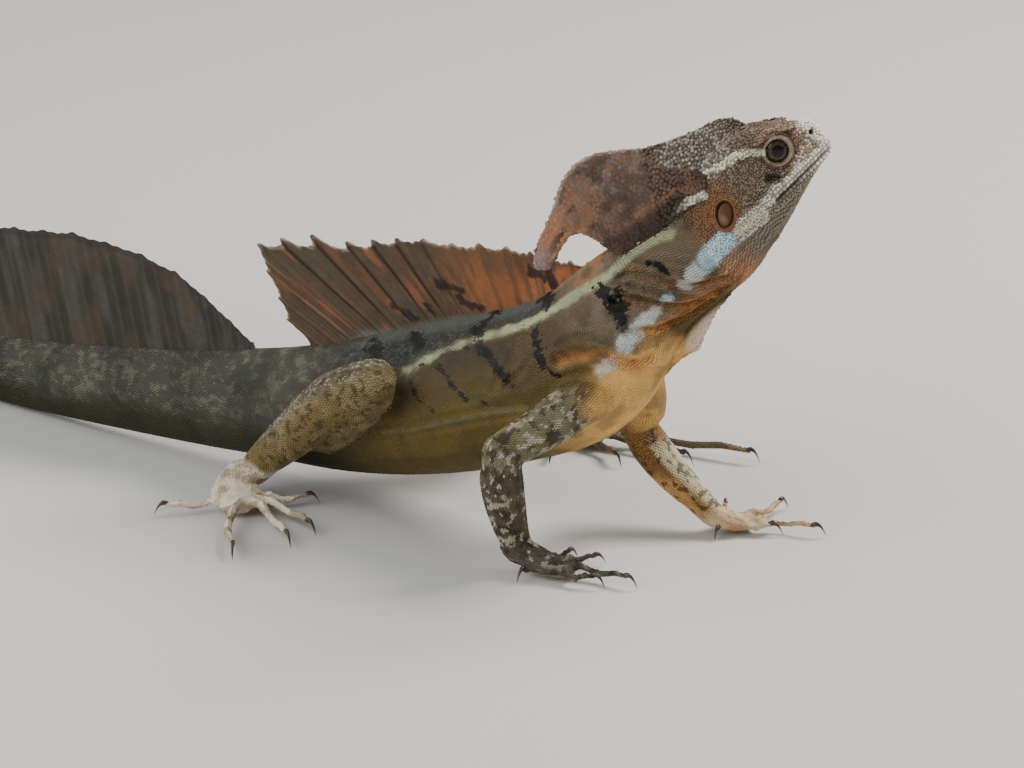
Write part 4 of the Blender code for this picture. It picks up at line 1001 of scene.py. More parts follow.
def joinRoots(groups):
    # each group keeps a tile of the unwrap for itself
    groups = [group for group in groups if group is not None and len(group[0])]
    tiles = math.ceil(math.sqrt(len(groups)))
    for i, group in enumerate(groups):
        corner = np.array((i % tiles, i // tiles)) / tiles
        group[5] = corner + group[5] / tiles
    return [np.concatenate(parts) for parts in zip(*groups)]


def roomFor(places, gaps, cell):
    # the numbers of the places that are kept when each keeps its distance from those before it
    cells = np.floor(places / cell).astype(int).tolist()
    spots, gaps = places.tolist(), gaps.tolist()
    around = [(dx, dy, dz) for dx in (0, -1, 1) for dy in (0, -1, 1) for dz in (0, -1, 1)]
    grid, kept = {}, []
    for i, (cx, cy, cz) in enumerate(cells):
        x, y, z = spots[i]
        free = True
        for dx, dy, dz in around:
            for k in grid.get((cx + dx, cy + dy, cz + dz), ()):
                u, v, w = spots[k]
                room = 0.5 * (gaps[i] + gaps[k])
                if (x - u) ** 2 + (y - v) ** 2 + (z - w) ** 2 < room * room:
                    free = False
                    break
            if not free:
                break
        if free:
            kept.append(i)
            grid.setdefault((cx, cy, cz), []).append(i)
    return kept


def settle(roots, room=0.62):      # room: share of a scale's size that it keeps for itself
    # drops roots that would crowd each other where rows of two axes meet
    gaps = np.minimum(roots[3][:, 0], roots[3][:, 1]) / mm * room
    kept = roomFor(toModel(roots[0]), gaps, gaps.max())
    return [part[kept] for part in roots]


def skinSamples(allowed, gap, rate, seed):
    corners = skinFaces[np.isin(skinOwners[skinFaces[:, 0]], allowed)]
    a, b, c = (skinPoints[corners[:, k]] for k in range(3))
    area = np.linalg.norm(np.cross(b - a, c - a), axis=1) / 2
    draw = np.random.default_rng(seed)
    many = int(area.sum() / gap ** 2 * rate)
    face = draw.choice(len(area), many, p=area / area.sum())
    r = draw.random((many, 2))
    r = np.where(r.sum(1)[:, None] > 1, 1 - r, r)
    weights = np.stack((1 - r.sum(1), r[:, 0], r[:, 1]), 1)
    place = (skinPoints[corners[face]] * weights[..., None]).sum(1)
    normal = unit((skinNormals[corners[face]] * weights[..., None]).sum(1))
    return place, normal, skinOwners[corners[face, 0]], draw


fillLook = {"rate": 6, "cell": 0.4, "room": 0.86, "stray": 0.004}


def fillBare(roots, allowed, gap, seed, keep=None):
    # throws scales into what the rows left bare, alike to the nearest scale of a row
    place, normal, owners, draw = skinSamples(allowed, gap, fillLook["rate"], seed)
    cell = fillLook["cell"] * gap
    taken = np.unique(np.floor(toModel(roots[0]) / cell).astype(np.int64), axis=0)
    span = range(-2, 3)
    near = np.array([(x, y, z) for x in span for y in span for z in span if x * x + y * y + z * z < 5])
    code = np.array((1, 4096, 4096 * 4096))
    marked = np.unique((taken[:, None] + near[None] + 2048).reshape(-1, 3) @ code)
    bare = ~np.isin((np.floor(place / cell).astype(np.int64) + 2048) @ code, marked)
    place, normal, owners = pick(bare, place, normal, owners)
    if keep is not None and len(place):
        place, normal, owners = pick(keep(place), place, normal, owners)
    if not len(place):
        return roots
    kept = roomFor(place, np.full(len(place), fillLook["room"] * gap), gap)
    place, normal, owners = pick(kept, place, normal, owners)
    rowTree = pointTree(roots[0].tolist())
    like = np.array([rowTree.find(spot)[1] for spot in toWorld(place).tolist()])
    spots = np.clip(roots[5][like] + fillLook["stray"] * draw.standard_normal((len(place), 2)), 0.003, 0.997)
    added = [toWorld(place), normal, roots[2][like], roots[3][like], pigment(place, owners), spots]
    print("filled", len(place), "bare places")
    return [np.concatenate((old, new)) for old, new in zip(roots, added)]


def scatterRoots(look, allowed, spacing):
    # granules thrown one by one where there is room, so that they fill the skin without rows
    place, normal, owners, draw = skinSamples(allowed, look["least"], look["rate"], look["seed"])
    gap = spacing(place)
    good = (gap > 0) & (np.abs(normal @ headLeft) >= look.get("facing", 0))
    place, normal, owners, gap = pick(good, place, normal, owners, gap)
    kept = roomFor(place, gap, gap.max())
    place, normal, owners, gap = pick(kept, place, normal, owners, gap)
    across = gap * look["fill"]
    size = np.stack((across * look["long"], across, np.minimum(gap * look["tall"], look["high"])), 1)
    size *= varied(draw, len(place), 0.08)
    back, rise, out = headCoords(place)
    angle = np.arctan2(out, rise - 4) / (2 * math.pi) + 0.5
    unwrap = np.stack((np.clip(back / 110, 0, 0.99), np.clip(angle, 0, 0.99)), 1)
    lie = unit(-headAhead + look["turn"] * draw.standard_normal((len(place), 3)))
    return [toWorld(place), normal, lie, size * mm, pigment(place, owners), unwrap]


# Materials

def addGroup(name, values, outputs, build):
    group = bpy.data.node_groups.new(name, "ShaderNodeTree")
    for label, value in values.items():
        socket = group.interface.new_socket(label, in_out="INPUT", socket_type="NodeSocketFloat")
        socket.default_value = value
    for label, kind in outputs.items():
        group.interface.new_socket(label, in_out="OUTPUT", socket_type=kind)
    build(group.nodes, group.links, group.nodes.new("NodeGroupInput"), group.nodes.new("NodeGroupOutput"))
    return group


def buildMottle(tree, links, given, out):
    # a slow and a fine noise that lighten and darken a colour by Amount
    coords = tree.new("ShaderNodeTexCoord")
    grain = []
    for label in ("Coarse", "Fine"):
        noise = tree.new("ShaderNodeTexNoise")
        noise.inputs["Detail"].default_value = 3.0
        links.new(coords.outputs["Object"], noise.inputs["Vector"])
        links.new(given.outputs[label], noise.inputs["Scale"])
        grain.append(noise.outputs["Fac"])
    both = tree.new("ShaderNodeMath")
    both.operation = "ADD"
    links.new(grain[0], both.inputs[0])
    links.new(grain[1], both.inputs[1])
    swing = tree.new("ShaderNodeMath")
    swing.operation = "SUBTRACT"
    swing.inputs[1].default_value = 1.0
    links.new(both.outputs[0], swing.inputs[0])
    factor = tree.new("ShaderNodeMath")
    factor.operation = "MULTIPLY_ADD"
    factor.inputs[2].default_value = 1.0
    links.new(swing.outputs[0], factor.inputs[0])
    links.new(given.outputs["Amount"], factor.inputs[1])
    links.new(factor.outputs[0], out.inputs["Shade"])
    links.new(grain[1], out.inputs["Grain"])


mottle = addGroup("skinMottle", {"Coarse": 90.0, "Fine": 900.0, "Amount": 0.5},
                  {"Shade": "NodeSocketFloat", "Grain": "NodeSocketFloat"}, buildMottle)


def pigmentMaterial(name, look):
    material = bpy.data.materials.new(name)
    material.use_nodes = True
    tree, links = material.node_tree.nodes, material.node_tree.links
    surface = tree["Principled BSDF"]
    surface.inputs["Specular IOR Level"].default_value = look["specular"]
    surface.inputs["Coat Roughness"].default_value = 0.3
    surface.inputs["Coat Weight"].default_value = look.get("coat", 0.0)
    stored = tree.new("ShaderNodeAttribute")
    stored.attribute_name = "pigment"
    group = tree.new("ShaderNodeGroup")
    group.node_tree = mottle
    group.inputs["Coarse"].default_value = look["coarse"]
    group.inputs["Fine"].default_value = look["fine"]
    group.inputs["Amount"].default_value = look["amount"]
    mix = tree.new("ShaderNodeVectorMath")
    mix.operation = "SCALE"
    links.new(stored.outputs["Color"], mix.inputs[0])
    links.new(group.outputs["Shade"], mix.inputs["Scale"])
    links.new(mix.outputs[0], surface.inputs["Base Color"])
    rough = tree.new("ShaderNodeMapRange")
    rough.inputs["To Min"].default_value = look["rough"] - 0.12
    rough.inputs["To Max"].default_value = look["rough"] + 0.12
    links.new(group.outputs["Grain"], rough.inputs["Value"])
    links.new(rough.outputs["Result"], surface.inputs["Roughness"])
    bump = tree.new("ShaderNodeBump")
    bump.inputs["Strength"].default_value = look["bump"]
    bump.inputs["Distance"].default_value = 0.15 * mm
    links.new(group.outputs["Grain"], bump.inputs["Height"])
    links.new(bump.outputs["Normal"], surface.inputs["Normal"])
    return material


skinMaterial = pigmentMaterial("skinBetweenScales", {"specular": 0.2, "coarse": 120, "fine": 1500,
                                                     "amount": 0.5, "rough": 0.62, "bump": 0.5})
scaleMaterial = pigmentMaterial("scaleHorn", {"specular": 0.28, "coarse": 110, "fine": 1400, "amount": 0.45,
                                              "rough": 0.5, "bump": 0.25})
crestMaterial = pigmentMaterial("crestSkin", {"specular": 0.4, "coarse": 130, "fine": 1100, "amount": 0.6,
                                              "rough": 0.5, "bump": 0.45})
sailMaterial = pigmentMaterial("sailSkin", {"specular": 0.25, "coarse": 150, "fine": 1300, "amount": 0.55,
                                            "rough": 0.58, "bump": 0.5})

skin = makeSkin()
skin.data.materials.clear()
skin.data.materials.append(skinMaterial)
skinTree = treeOf(skin)
skin.data.calc_loop_triangles()
skinFaces = np.zeros(len(skin.data.loop_triangles) * 3, np.int64)
skin.data.loop_triangles.foreach_get("vertices", skinFaces)
skinFaces = skinFaces.reshape(-1, 3)
skinPoints, skinNormals = meshArrays(skin.data)
skinPoints = toModel(skinPoints)
skinOwners = ownersOf(toWorld(skinPoints))

# Scales of the neck, trunk and tail

neckCoat = {"row": 0.80, "pitch": 0.88, "reach": 40, "high": 0.20}
trunkCoat = {"row": 0.73, "pitch": 0.84, "reach": 40, "high": 0.13}
tailCoats = ({"row": 0.98, "pitch": 1.06, "reach": 30, "high": 0.20},
             {"row": 1.18, "pitch": 1.16, "reach": 22, "high": 0.26},
             {"row": 1.15, "pitch": 1.00, "reach": 14, "high": 0.22})
spineCentres = np.array(spineRows)[:, :3]
neckAxis = np.vstack(([headPoint(40, -3.5), headPoint(48, -5)], spineCentres[:5]))
trunkNodes = ("torso", "neck", "throat_flap")
tailNodes = ("tail_1", "tail_2", "tail_3", "tail_4")


def arcBetween(start, end):
    return lambda points: (bodyCoords(points)[0] >= start) & (bodyCoords(points)[0] < end)


def bodyPiece(name, axis, look, allowed, span, seed, edge):
    rows = wrapRows(skinTree, axis, look, allowed, arcBetween(*span))
    roots = fillBare(settle(joinRoots([rows])), allowed, look["pitch"], seed, keep=arcBetween(*span))
    buildCoat(name, "keeled", roots, scaleMaterial, edge=edge)


bodyPiece("neck_scales", neckAxis, neckCoat, trunkNodes, (-60, 38), 101, 0.5)
bodyPiece("shoulder_scales", spineCentres[3:8], trunkCoat, trunkNodes, (38, 84), 102, 0.7)
bodyPiece("flank_scales", spineCentres[6:11], trunkCoat, trunkNodes, (84, 134), 103, 0.7)
bodyPiece("hip_scales", spineCentres[9:15], trunkCoat, trunkNodes, (134, 400), 104, 0.7)
tailSpans = ((13, 17, 0, 318), (17, 20, 318, 530), (20, 24, 530, 2000))
for i, (start, end, arcStart, arcEnd) in enumerate(tailSpans):
    bodyPiece("tail_scales_" + str(i + 1), spineCentres[max(start - 1, 12):end + 1], tailCoats[i],
              tailNodes, (arcStart, arcEnd), 105 + i, 0.62 - 0.08 * i)

# Scales of the limbs

limbCoat = {"row": 0.86, "pitch": 0.92, "reach": 15, "high": 0.19}
palmCoat = {"row": 0.86, "pitch": 0.9, "reach": 10, "high": 0.17}
toeCoat = {"row": 0.9, "pitch": 0.95, "reach": 3.4, "high": 0.12, "steady": (0, 0, 1), "broad": 1.1}
for side in ("right", "left"):
    for seed, limb, foot in ((201, "arm", "hand"), (202, "leg", "foot")):
        name, endName = limb + "_" + side, foot + "_" + side
        upper, lower = limbLines[name]
        groups = [wrapRows(skinTree, upper, limbCoat, (name,)),
                  wrapRows(skinTree, lower, dict(limbCoat, steady=(1, 0, 0.3)), (name, endName),
                           lambda p: p[:, 2] > 9)]
        roots = fillBare(settle(joinRoots(groups)), (name,), limbCoat["pitch"], seed)
        buildCoat(name + "_scales", "keeled", roots, scaleMaterial, edge=0.45)
        groups = [wrapRows(skinTree, palmLines[endName], palmCoat, (endName,))]
        for numbers in toeLines[endName]:
            groups.append(wrapRows(skinTree, toeCentres(numbers)[0], toeCoat, (endName,),
                                   lambda p: p[:, 2] > 0.5))
        roots = fillBare(settle(joinRoots(groups)), (endName,), palmCoat["pitch"], seed + 10,
                         keep=lambda p: p[:, 2] > 0.7)
        buildCoat(endName + "_scales", "keeled", roots, scaleMaterial, edge=0.6)

# Head: lids, lips, ears, nostrils and its scales

lidLook = {"profile": ((3.72, 8.2), (3.74, 8.8), (3.88, 9.2), (4.15, 9.48), (4.5, 9.55), (4.85, 9.38),
                       (5.2, 8.98), (5.5, 8.4), (5.7, 7.6), (5.0, 6.8), (4.2, 7.0)),
           "tall": 1.05, "rings": (3.90, 4.28, 4.68, 5.08), "grain": 0.40, "high": 0.09, "shade": 0.6,
           "ringOut": 10.5}


def ringPiece(name, look, side):
    # a profile of radius and height spun round the eye's axis
    bm = bmesh.new()
    verts = [bm.verts.new((radius, 0, out)) for radius, out in look["profile"]]
    edges = [bm.edges.new((verts[k], verts[(k + 1) % len(verts)])) for k in range(len(verts))]
    bmesh.ops.spin(bm, geom=verts + edges, cent=(0, 0, 0), axis=(0, 0, 1), angle=2 * math.pi, steps=72,
                   use_merge=True)
    bmesh.ops.recalc_face_normals(bm, faces=bm.faces)
    for vert in bm.verts:
        back, rise, out = vert.co.x, vert.co.y * look["tall"], vert.co.z
        wave = 0.08 * math.sin(5 * math.atan2(rise, back)) + 0.10 * step(rise, 1, 4)
        spot = headPoint(eyeSpot["back"] - back, eyeSpot["rise"] + rise, (out + wave) * side)
        vert.co = Vector(toWorld(spot))
    bmesh.ops.recalc_face_normals(bm, faces=bm.faces)
    bmesh.ops.triangulate(bm, faces=bm.faces)
    mesh = takeMesh(name, bm, True)
    colour = pigment(toModel(meshArrays(mesh)[0]), np.full(len(mesh.vertices), "head"))
    storePigment(mesh, colour * look["shade"])
    mesh.materials.append(skinMaterial)
    piece = addPiece(name, mesh)
    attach(piece, "root")
    return piece


def eyeRing(radius, side):
    made = []
    for a in np.linspace(0, 2 * math.pi, 73):
        back, rise = eyeSpot["back"] - radius * math.cos(a), eyeSpot["rise"] + radius * math.sin(a)
        made.append(headPoint(back, rise, lidLook["ringOut"] * side))
    return np.array(made)


def sideCast(back, rise, side, start=30):
    origin = Vector(toWorld(headPoint(back, rise, start * side)))
    hit = skinTree.ray_cast(origin, Vector(-headLeft * side), 0.05)
    return toModel(hit[0]) if hit[0] is not None else None


def lipLine(height, end, side):
    # from the middle of the snout round to the corner of the mouth, at a height over the mouth's line
    made = []
    for turn in np.linspace(0, 80, 17):
        a = math.radians(turn)
        rise = mouth["line"] + height
        way = headAhead * math.cos(a) + headLeft * side * math.sin(a)
        hit = skinTree.ray_cast(Vector(toWorld(headPoint(6, rise))), Vector(way), 0.02)
        if hit[0] is not None:
            made.append(toModel(hit[0]))
    for back in np.arange(5.5, end, 0.5):
        rise = mouth["line"] + height - mouth["droop"] * max(back - mouth["droopFrom"], 0)
        spot = sideCast(back, rise, side)
        if spot is not None:
            made.append(spot)
    return np.array(made)


labials = (      # height over the mouth's line, length, width, height of a plate, where the row ends
    (0.95, 1.7, 1.5, 0.30, 27), (2.35, 1.25, 1.25, 0.28, 25), (-0.95, 1.6, 1.4, 0.28, 27),
    (-2.15, 1.3, 1.2, 0.26, 27))
headPlates, lidPlates = [], []
for side in (-1, 1):
    lids = ringPiece("eyelids_" + ("left" if side > 0 else "right"), lidLook, side)
    lidTree = treeOf(lids)
    for i, radius in enumerate(lidLook["rings"]):
        look = {"gap": lidLook["grain"] * (0.9 + 0.12 * i), "wide": 0.55, "high": lidLook["high"]}
        lidPlates.append(plateRow(lidTree, eyeRing(radius, side), look,
                                  spot=(0.1 + 0.15 * i, 0.3 + 0.3 * side)))
    for i, (height, long, wide, high, end) in enumerate(labials):
        look = {"gap": long, "wide": wide, "high": high, "vary": 0.05}
        headPlates.append(plateRow(skinTree, lipLine(height, end, side), look,
                                   spot=(0.1 + 0.2 * i, 0.3 + 0.3 * side)))
    rim = []
    for a in np.linspace(0, 2 * math.pi, 49):
        turn = math.radians(ear["tilt"])
        along, across = 1.2 * ear["long"] * math.cos(a), 1.2 * ear["high"] * math.sin(a)
        spot = sideCast(ear["back"] + along * math.cos(turn) - across * math.sin(turn),
                        ear["rise"] + along * math.sin(turn) + across * math.cos(turn), side)
        if spot is not None:
            rim.append(spot)
    headPlates.append(plateRow(skinTree, rim, {"gap": 0.75, "wide": 0.6, "high": 0.2},
                               spot=(0.9, 0.5 + 0.3 * side)))
buildCoat("lid_granules", "dome", joinRoots(lidPlates), scaleMaterial, smooth=True)
buildCoat("lip_plates", "plate", joinRoots(headPlates), scaleMaterial)


def headGap(points):
    back, rise, out = headCoords(points)
    gap = np.full(len(points), 0.76)
    crownLine = np.interp(back, (0, 8, 16, 24, 34, 46, 60), (10, 12, 15, 16.5, 17, 17, 16))
    crown = step(rise - crownLine, -1, 1)
    gap = np.where(crown > 0.5, 0.82, gap)
    casque = step(back, 19, 26) * step(rise - 15.5 + 0.05 * back, 0, 1.5)
    gap = gap + 0.16 * casque * step(back, 24, 46)
    temple = (back > 19) & (back < 36) & (rise > 5.5) & (rise < 15.5)
    gap = np.where(temple, 0.60, gap)
    jowl = (back >= 36) & (rise < 14)
    gap = np.where(jowl, 0.66, gap)
    lips = (np.abs(overMouth(back, rise) - 0.15) < 2.9) & (back < 26)
    eyeRoom = reachFrom(eyeSpot, back, rise) < 5.45
    noseRoom = reachFrom(nostril, back, rise) < 1.15
    earRoom = earReach(back, rise) < 1.38
    beside = np.abs(out) > 2.2
    throat = rise < -3.4 - 0.03 * back
    bare = lips | (eyeRoom & beside) | (noseRoom & beside) | (earRoom & beside) | throat
    return np.where(bare | (crestOnset(back, rise) > 0.5), 0, gap)


def crestGap(points):
    back, rise, out = headCoords(points)
    gap = np.interp(back, (30, 46, 60, 104), (0.85, 0.92, 1.20, 1.15))
    return np.where(crestOnset(back, rise) > 0.5, gap, 0)


headAxis = [headPoint(*spot) for spot in ((0.5, 3.6), (8, 4), (18, 4.5), (30, 3), (42, -1), (52, -5))]
throatCoat = {"row": 1.15, "pitch": 1.25, "reach": 26, "high": 0.36, "steady": headUp}
headLook = {"seed": 11, "rate": 14, "least": 0.6, "fill": 1.5, "long": 1.08, "tall": 0.42, "high": 0.42,
            "turn": 0.35}
crestLook = dict(headLook, seed=12, least=0.95, tall=0.045, high=0.05, fill=1.4, facing=0.7)


def onThroat(points):
    back, rise, out = headCoords(points)
    return rise < -3.2 - 0.03 * back


throatRows = wrapRows(skinTree, headAxis, throatCoat, ("head",), onThroat)
throatRoots = fillBare(settle(joinRoots([throatRows])), ("head",), throatCoat["pitch"], 301, keep=onThroat)
buildCoat("throat_scales", "keeled", throatRoots, scaleMaterial, edge=0.42)
rimLine = []
for back, rise in smoothCurve(crestRim[3:12], 6):
    hit = skinTree.ray_cast(Vector(toWorld(headPoint(back, rise + 5))), Vector(-headUp), 0.012)
    if hit[0] is not None:
        rimLine.append(toModel(hit[0]))
# the rim row takes the pale rim colour, partly painted highlight from above
rimRow = plateRow(skinTree, rimLine, {"gap": 0.9, "wide": 0.75, "high": 0.16}, colour=paint["crestRimPaleAndLit"])
rimRoots = joinRoots([rimRow])
buildCoat("crest_rim_scales", "dome", rimRoots, scaleMaterial, smooth=True, edge=0.9)
headRoots = joinRoots([scatterRoots(headLook, ("head", "head_crest"), headGap)])
buildCoat("head_scales", "dome", headRoots, scaleMaterial, smooth=True)
crestRoots = joinRoots([scatterRoots(crestLook, ("head_crest", "head"), crestGap)])
buildCoat("crest_scales", "dome", crestRoots, crestMaterial, smooth=True, edge=0.88)

# Sails: two faces of one thin leaf, with a round ridge for each fin ray


def sailPiece(name, rays, look, nodeName):
    # rays: root, tip and side at each ray; the columns between them follow smooth lines
    roots, tips, sides = (smoothCurve([ray[k] for ray in rays], look["columns"]) for k in range(3))
    many, high = len(roots), look["rows"]
    ragged = random.Random(7)
    teeth = [ragged.uniform(-0.6, 0.9) for _ in range(3 * len(rays))]
    notches = [look["notch"] * ragged.uniform(0.5, 1.2) for _ in rays]
    for k, depth in look["fingers"]:
        notches[k] = depth
    bm = bmesh.new()
    bmesh.ops.create_grid(bm, x_segments=many - 1, y_segments=high - 1, size=0.5)
    flat = np.array([vert.co[:] for vert in bm.verts])
    i = np.rint((flat[:, 0] + 0.5) * (many - 1)).astype(int)
    t = flat[:, 1] + 0.5
    phase = i / look["columns"]
    nearest = np.rint(phase)
    away = np.abs(phase - nearest)
    small = np.abs(phase * 3 - np.rint(phase * 3)) / 3
    ridge = np.exp(-(away / look["rayWidth"]) ** 2)
    minor = np.exp(-(small / (0.45 * look["rayWidth"])) ** 2)
    along = tips[i] - roots[i]
    length = np.linalg.norm(along, axis=1)
    cut = np.array([notches[min(int(k), len(notches) - 1)] for k in np.floor(phase)])
    cut = cut * step(away, 0.02, 0.32)
    saw = look["saw"] * (1 - np.abs(2 * ((phase * 3) % 1) - 1))
    tooth = np.interp(phase * 3, range(len(teeth)), teeth) * 0.6
    notch = np.minimum(cut + saw - tooth * (1 - step(away, 0, 0.3)), 0.22 * length)
    base = roots[i] + along * t[:, None] - unit(along) * (notch * step(t, 0.70, 1.0))[:, None]
    wave = softNoise(np.stack((phase * 1.3, t * 2.2, 0 * t), 1), 1.0, 45) - 0.5
    base = base + sides[i] * (wave * look["wave"] * step(t, 0.25, 0.8) * step(1 - t, 0, 0.05))[:, None]
    half = (np.interp(t, (0, 0.5, 1), look["halves"]) + np.interp(t, (0, 0.5, 1), look["ray"]) * ridge
            + 0.3 * np.interp(t, (0, 0.5, 1), look["ray"]) * minor)
    front = list(bm.verts)
    made = bmesh.ops.duplicate(bm, geom=bm.verts[:] + bm.edges[:] + bm.faces[:])
    for k, vert in enumerate(front):
        vert.co = Vector(toWorld(base[k] + sides[i[k]] * half[k]))
        made["vert_map"][vert].co = Vector(toWorld(base[k] - sides[i[k]] * half[k]))
    rear = [part for part in made["geom"] if isinstance(part, bmesh.types.BMFace)]
    bmesh.ops.reverse_faces(bm, faces=rear)
    rims = [edge for edge in bm.edges if edge.is_boundary]
    bmesh.ops.bridge_loops(bm, edges=rims)
    bmesh.ops.recalc_face_normals(bm, faces=bm.faces)
    mesh = takeMesh(name, bm, True)
    model = toModel(meshArrays(mesh)[0])
    fields = [np.tile(field, 2) for field in (phase, t, ridge if look["rays"] == "main" else minor)]
    storePigment(mesh, look["pigment"](model, *fields))
    mesh.materials.append(sailMaterial)
    piece = addPiece(name, mesh)
    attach(piece, "root")
    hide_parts(nodeName)
    print(name, len(mesh.polygons), "faces")
    return piece


sailMarks = (      # blotches on the sail: half width and the line, x and z
    (1.3, ((-63, 83), (-57, 83), (-53, 82))), (1.2, ((-53, 79), (-50, 78), (-45, 77))),
    (1.1, ((-81, 72), (-76, 71), (-72, 69))), (1.5, ((-26, 94), (-22, 93), (-16, 91))),
    (1.6, ((-22, 97), (-18, 94), (-14, 90))), (1.0, ((-68, 75), (-64, 72))))


def dorsalPigment(points, phase, t, ridge):
    streak = softNoise(np.stack((phase * 4.5, t * 2.2, 0 * t), 1), 1.0, 31)
    patch = softNoise(points, 8.0, 32)
    grain = softNoise(points, 1.1, 33)
    rear = step(phase + 2.5 * (patch - 0.5) + 2.0 * (t - 0.4), 5.0, 9.0)
    olive = lay("sailOlive", ("sailRust", 0.60 * step(streak, 0.58, 0.76)),
                ("sailBrown", 0.6 * step(patch, 0.45, 0.7)))
    behind = phase - np.floor(phase)
    colour = lay(
        "sailRust",
        ("sailBrown", 0.75 * step(streak, 0.48, 0.72)),
        (olive, 0.92 * rear),
        ("sailBrown", 0.45 * step(ridge, 0.3, 0.9)),
        ("sailBrown", 0.80 * step(t + 0.5 * (patch - 0.5), 0.48, 0.78) * (1 - rear)),
        ("sailDark", 0.9 * step(0.30 - behind, 0, 0.14) * step(behind, 0.02, 0.08) * step(phase, 7.9, 8.3)
         * step(14 - phase, 0, 0.5) * step(t, 0.12, 0.45)),
        ("backGrey", step(0.20 - t + 0.05 * (patch - 0.5), 0, 0.06) * 0.85))
    marks = np.stack((points[:, 0], points[:, 2]), 1)
    wobble = 2.4 * (softNoise(points, 1.7, 34) - 0.5) + 1.2 * (grain - 0.5)
    for half, line in sailMarks:
        far = lineDistance(marks, np.array(line, float)) + wobble
        colour = lay(colour, ("sailDark", step(half + 0.3 - far, 0, 0.5) * 0.9))
    colour = lay(colour, ("sailEdge", 0.45 * step(t, 0.965, 0.99) * step(grain, 0.35, 0.6)))
    return colour * (0.86 + 0.28 * grain[:, None])


def tailSailPigment(points, phase, t, minor):
    streak = softNoise(np.stack((phase * 3.5, t * 2, 0 * t), 1), 1.0, 35)
    patch = softNoise(points, 9.0, 36)
    grain = softNoise(points, 1.1, 37)
    colour = lay(
        "tailSail",
        ("tailSailLight", 0.7 * step(streak, 0.45, 0.8)),
        ("tailSailRust", 0.6 * step(patch, 0.5, 0.75)),
        ("tailSailLight", 0.45 * step(minor, 0.4, 0.9)),
        ("sailDark", 0.5 * step(t, 0.93, 0.99)))
    return colour * (0.84 + 0.32 * grain[:, None])


sailRim = ((0.6, 103.4), (-4.0, 100.6), (-10.0, 100.4), (-18.0, 100.4), (-26.4, 100.0),
           (-36.0, 100.4), (-47.0, 99.4), (-58.0, 98.0), (-69.5, 97.6), (-80.0, 95.6),
           (-90.0, 93.6), (-101.0, 91.6), (-115.5, 91.2), (-128.5, 88.0), (-138.6, 84.2),
           (-135.0, 75.0), (-130.0, 66.0), (-127.0, 59.0), (-119.0, 54.6))
sailRoots = {"front": 1.5, "back": -112.0, "sink": 7.0}
ridgeLine = spineLine[:, :3] + spineUp * spineLine[:, 3:]
fromFront = np.arange(len(ridgeLine)) > 2 * spineSteps


def ridgeAt(x, sink):
    order = np.argsort(ridgeLine[fromFront][:, 0])
    xs = ridgeLine[fromFront][order][:, 0]
    lowered = (ridgeLine - spineUp * sink)[fromFront][order]
    return pointAt(x, xs, lowered)


def dorsalRays():
    rays = []
    for (x, z), rootX in zip(sailRim, np.linspace(sailRoots["front"], sailRoots["back"], len(sailRim))):
        root = ridgeAt(rootX, sailRoots["sink"])
        rays.append((root, np.array((x, root[1], z)), np.array((0, 1.0, 0))))
    return rays


dorsalLook = {"columns": 18, "rows": 44, "halves": (1.4, 0.72, 0.22), "ray": (0.75, 0.55, 0.25),
              "rayWidth": 0.13, "notch": 1.5, "saw": 0.7, "wave": 1.1, "pigment": dorsalPigment,
              "rays": "main",
              "fingers": ((10, 2.6), (11, 4.6), (12, 5.0), (13, 3.4))}
sailPiece("sail_of_the_back", dorsalRays(), dorsalLook, "dorsal_sail")

tailSailHeights = ((13.1, 1.5), (13.5, 12.0), (14.0, 26.5), (14.5, 36.0), (15.0, 40.5),
                   (15.5, 41.5), (16.0, 41.5), (16.6, 40.5), (17.3, 37.5), (18.0, 33.0),
                   (18.7, 27.0), (19.4, 20.0), (20.1, 13.5), (20.8, 7.5), (21.4, 2.6), (21.7, 0.8))
tailSailRays = {"count": 28, "sink": 4.0, "slope": 0.28}


def tailRays():
    stations, heights = zip(*tailSailHeights)
    rays = []
    for u in np.linspace(stations[0], stations[-1] - 0.01, tailSailRays["count"]):
        at = u * spineSteps
        row = [pointAt(at, range(len(table)), table)
               for table in (ridgeLine, spineUp, spineAhead, spineLeft)]
        high = np.interp(u, stations, heights)
        tip = row[0] + np.array((0, 0, high)) - row[2] * high * tailSailRays["slope"]
        rays.append((row[0] - row[1] * tailSailRays["sink"], tip, row[3]))
    return rays


tailSailLook = {"columns": 12, "rows": 30, "halves": (1.2, 0.58, 0.20), "ray": (0.65, 0.5, 0.25),
                "rayWidth": 0.15, "notch": 0.8, "saw": 0.5, "wave": 0.8, "pigment": tailSailPigment,
                "rays": "minor", "fingers": ()}
sailPiece("sail_of_the_tail", tailRays(), tailSailLook, "tail_sail")

# Eyes and eardrums

eyeLook = dict(eyeSpot, halves=(4.95, 4.95, 3.75), iris=3.8, pupil=2.2, dark=(0.020, 0.016, 0.012),
               fibre=(0.11, 0.080, 0.028), ring=(0.20, 0.14, 0.05), hole=(0.004, 0.003, 0.003),
               edge=(0.045, 0.032, 0.020))
drumLook = dict(ear, out=12.1, halves=(2.35, 3.9, 0.5), warm=(0.12, 0.06, 0.032),
                pale=(0.22, 0.130, 0.072))


def ballPiece(name, look, side):
    bm = bmesh.new()
    bmesh.ops.create_uvsphere(bm, u_segments=64, v_segments=48, radius=1)
    lean = Matrix.Rotation(math.radians(look.get("tilt", 0)), 3, Vector(headLeft))
    turn = lean @ Matrix((Vector(headAhead), Vector(headUp), Vector(headLeft * side))).transposed()
    middle = Vector(toWorld(headPoint(look["back"], look["rise"], look["out"] * side)))
    for vert in bm.verts:
        local = Vector([vert.co[k] * look["halves"][k] for k in range(3)])
        vert.co = middle + turn @ local * mm
    bmesh.ops.recalc_face_normals(bm, faces=bm.faces)
    return addPiece(name, takeMesh(name, bm, True))


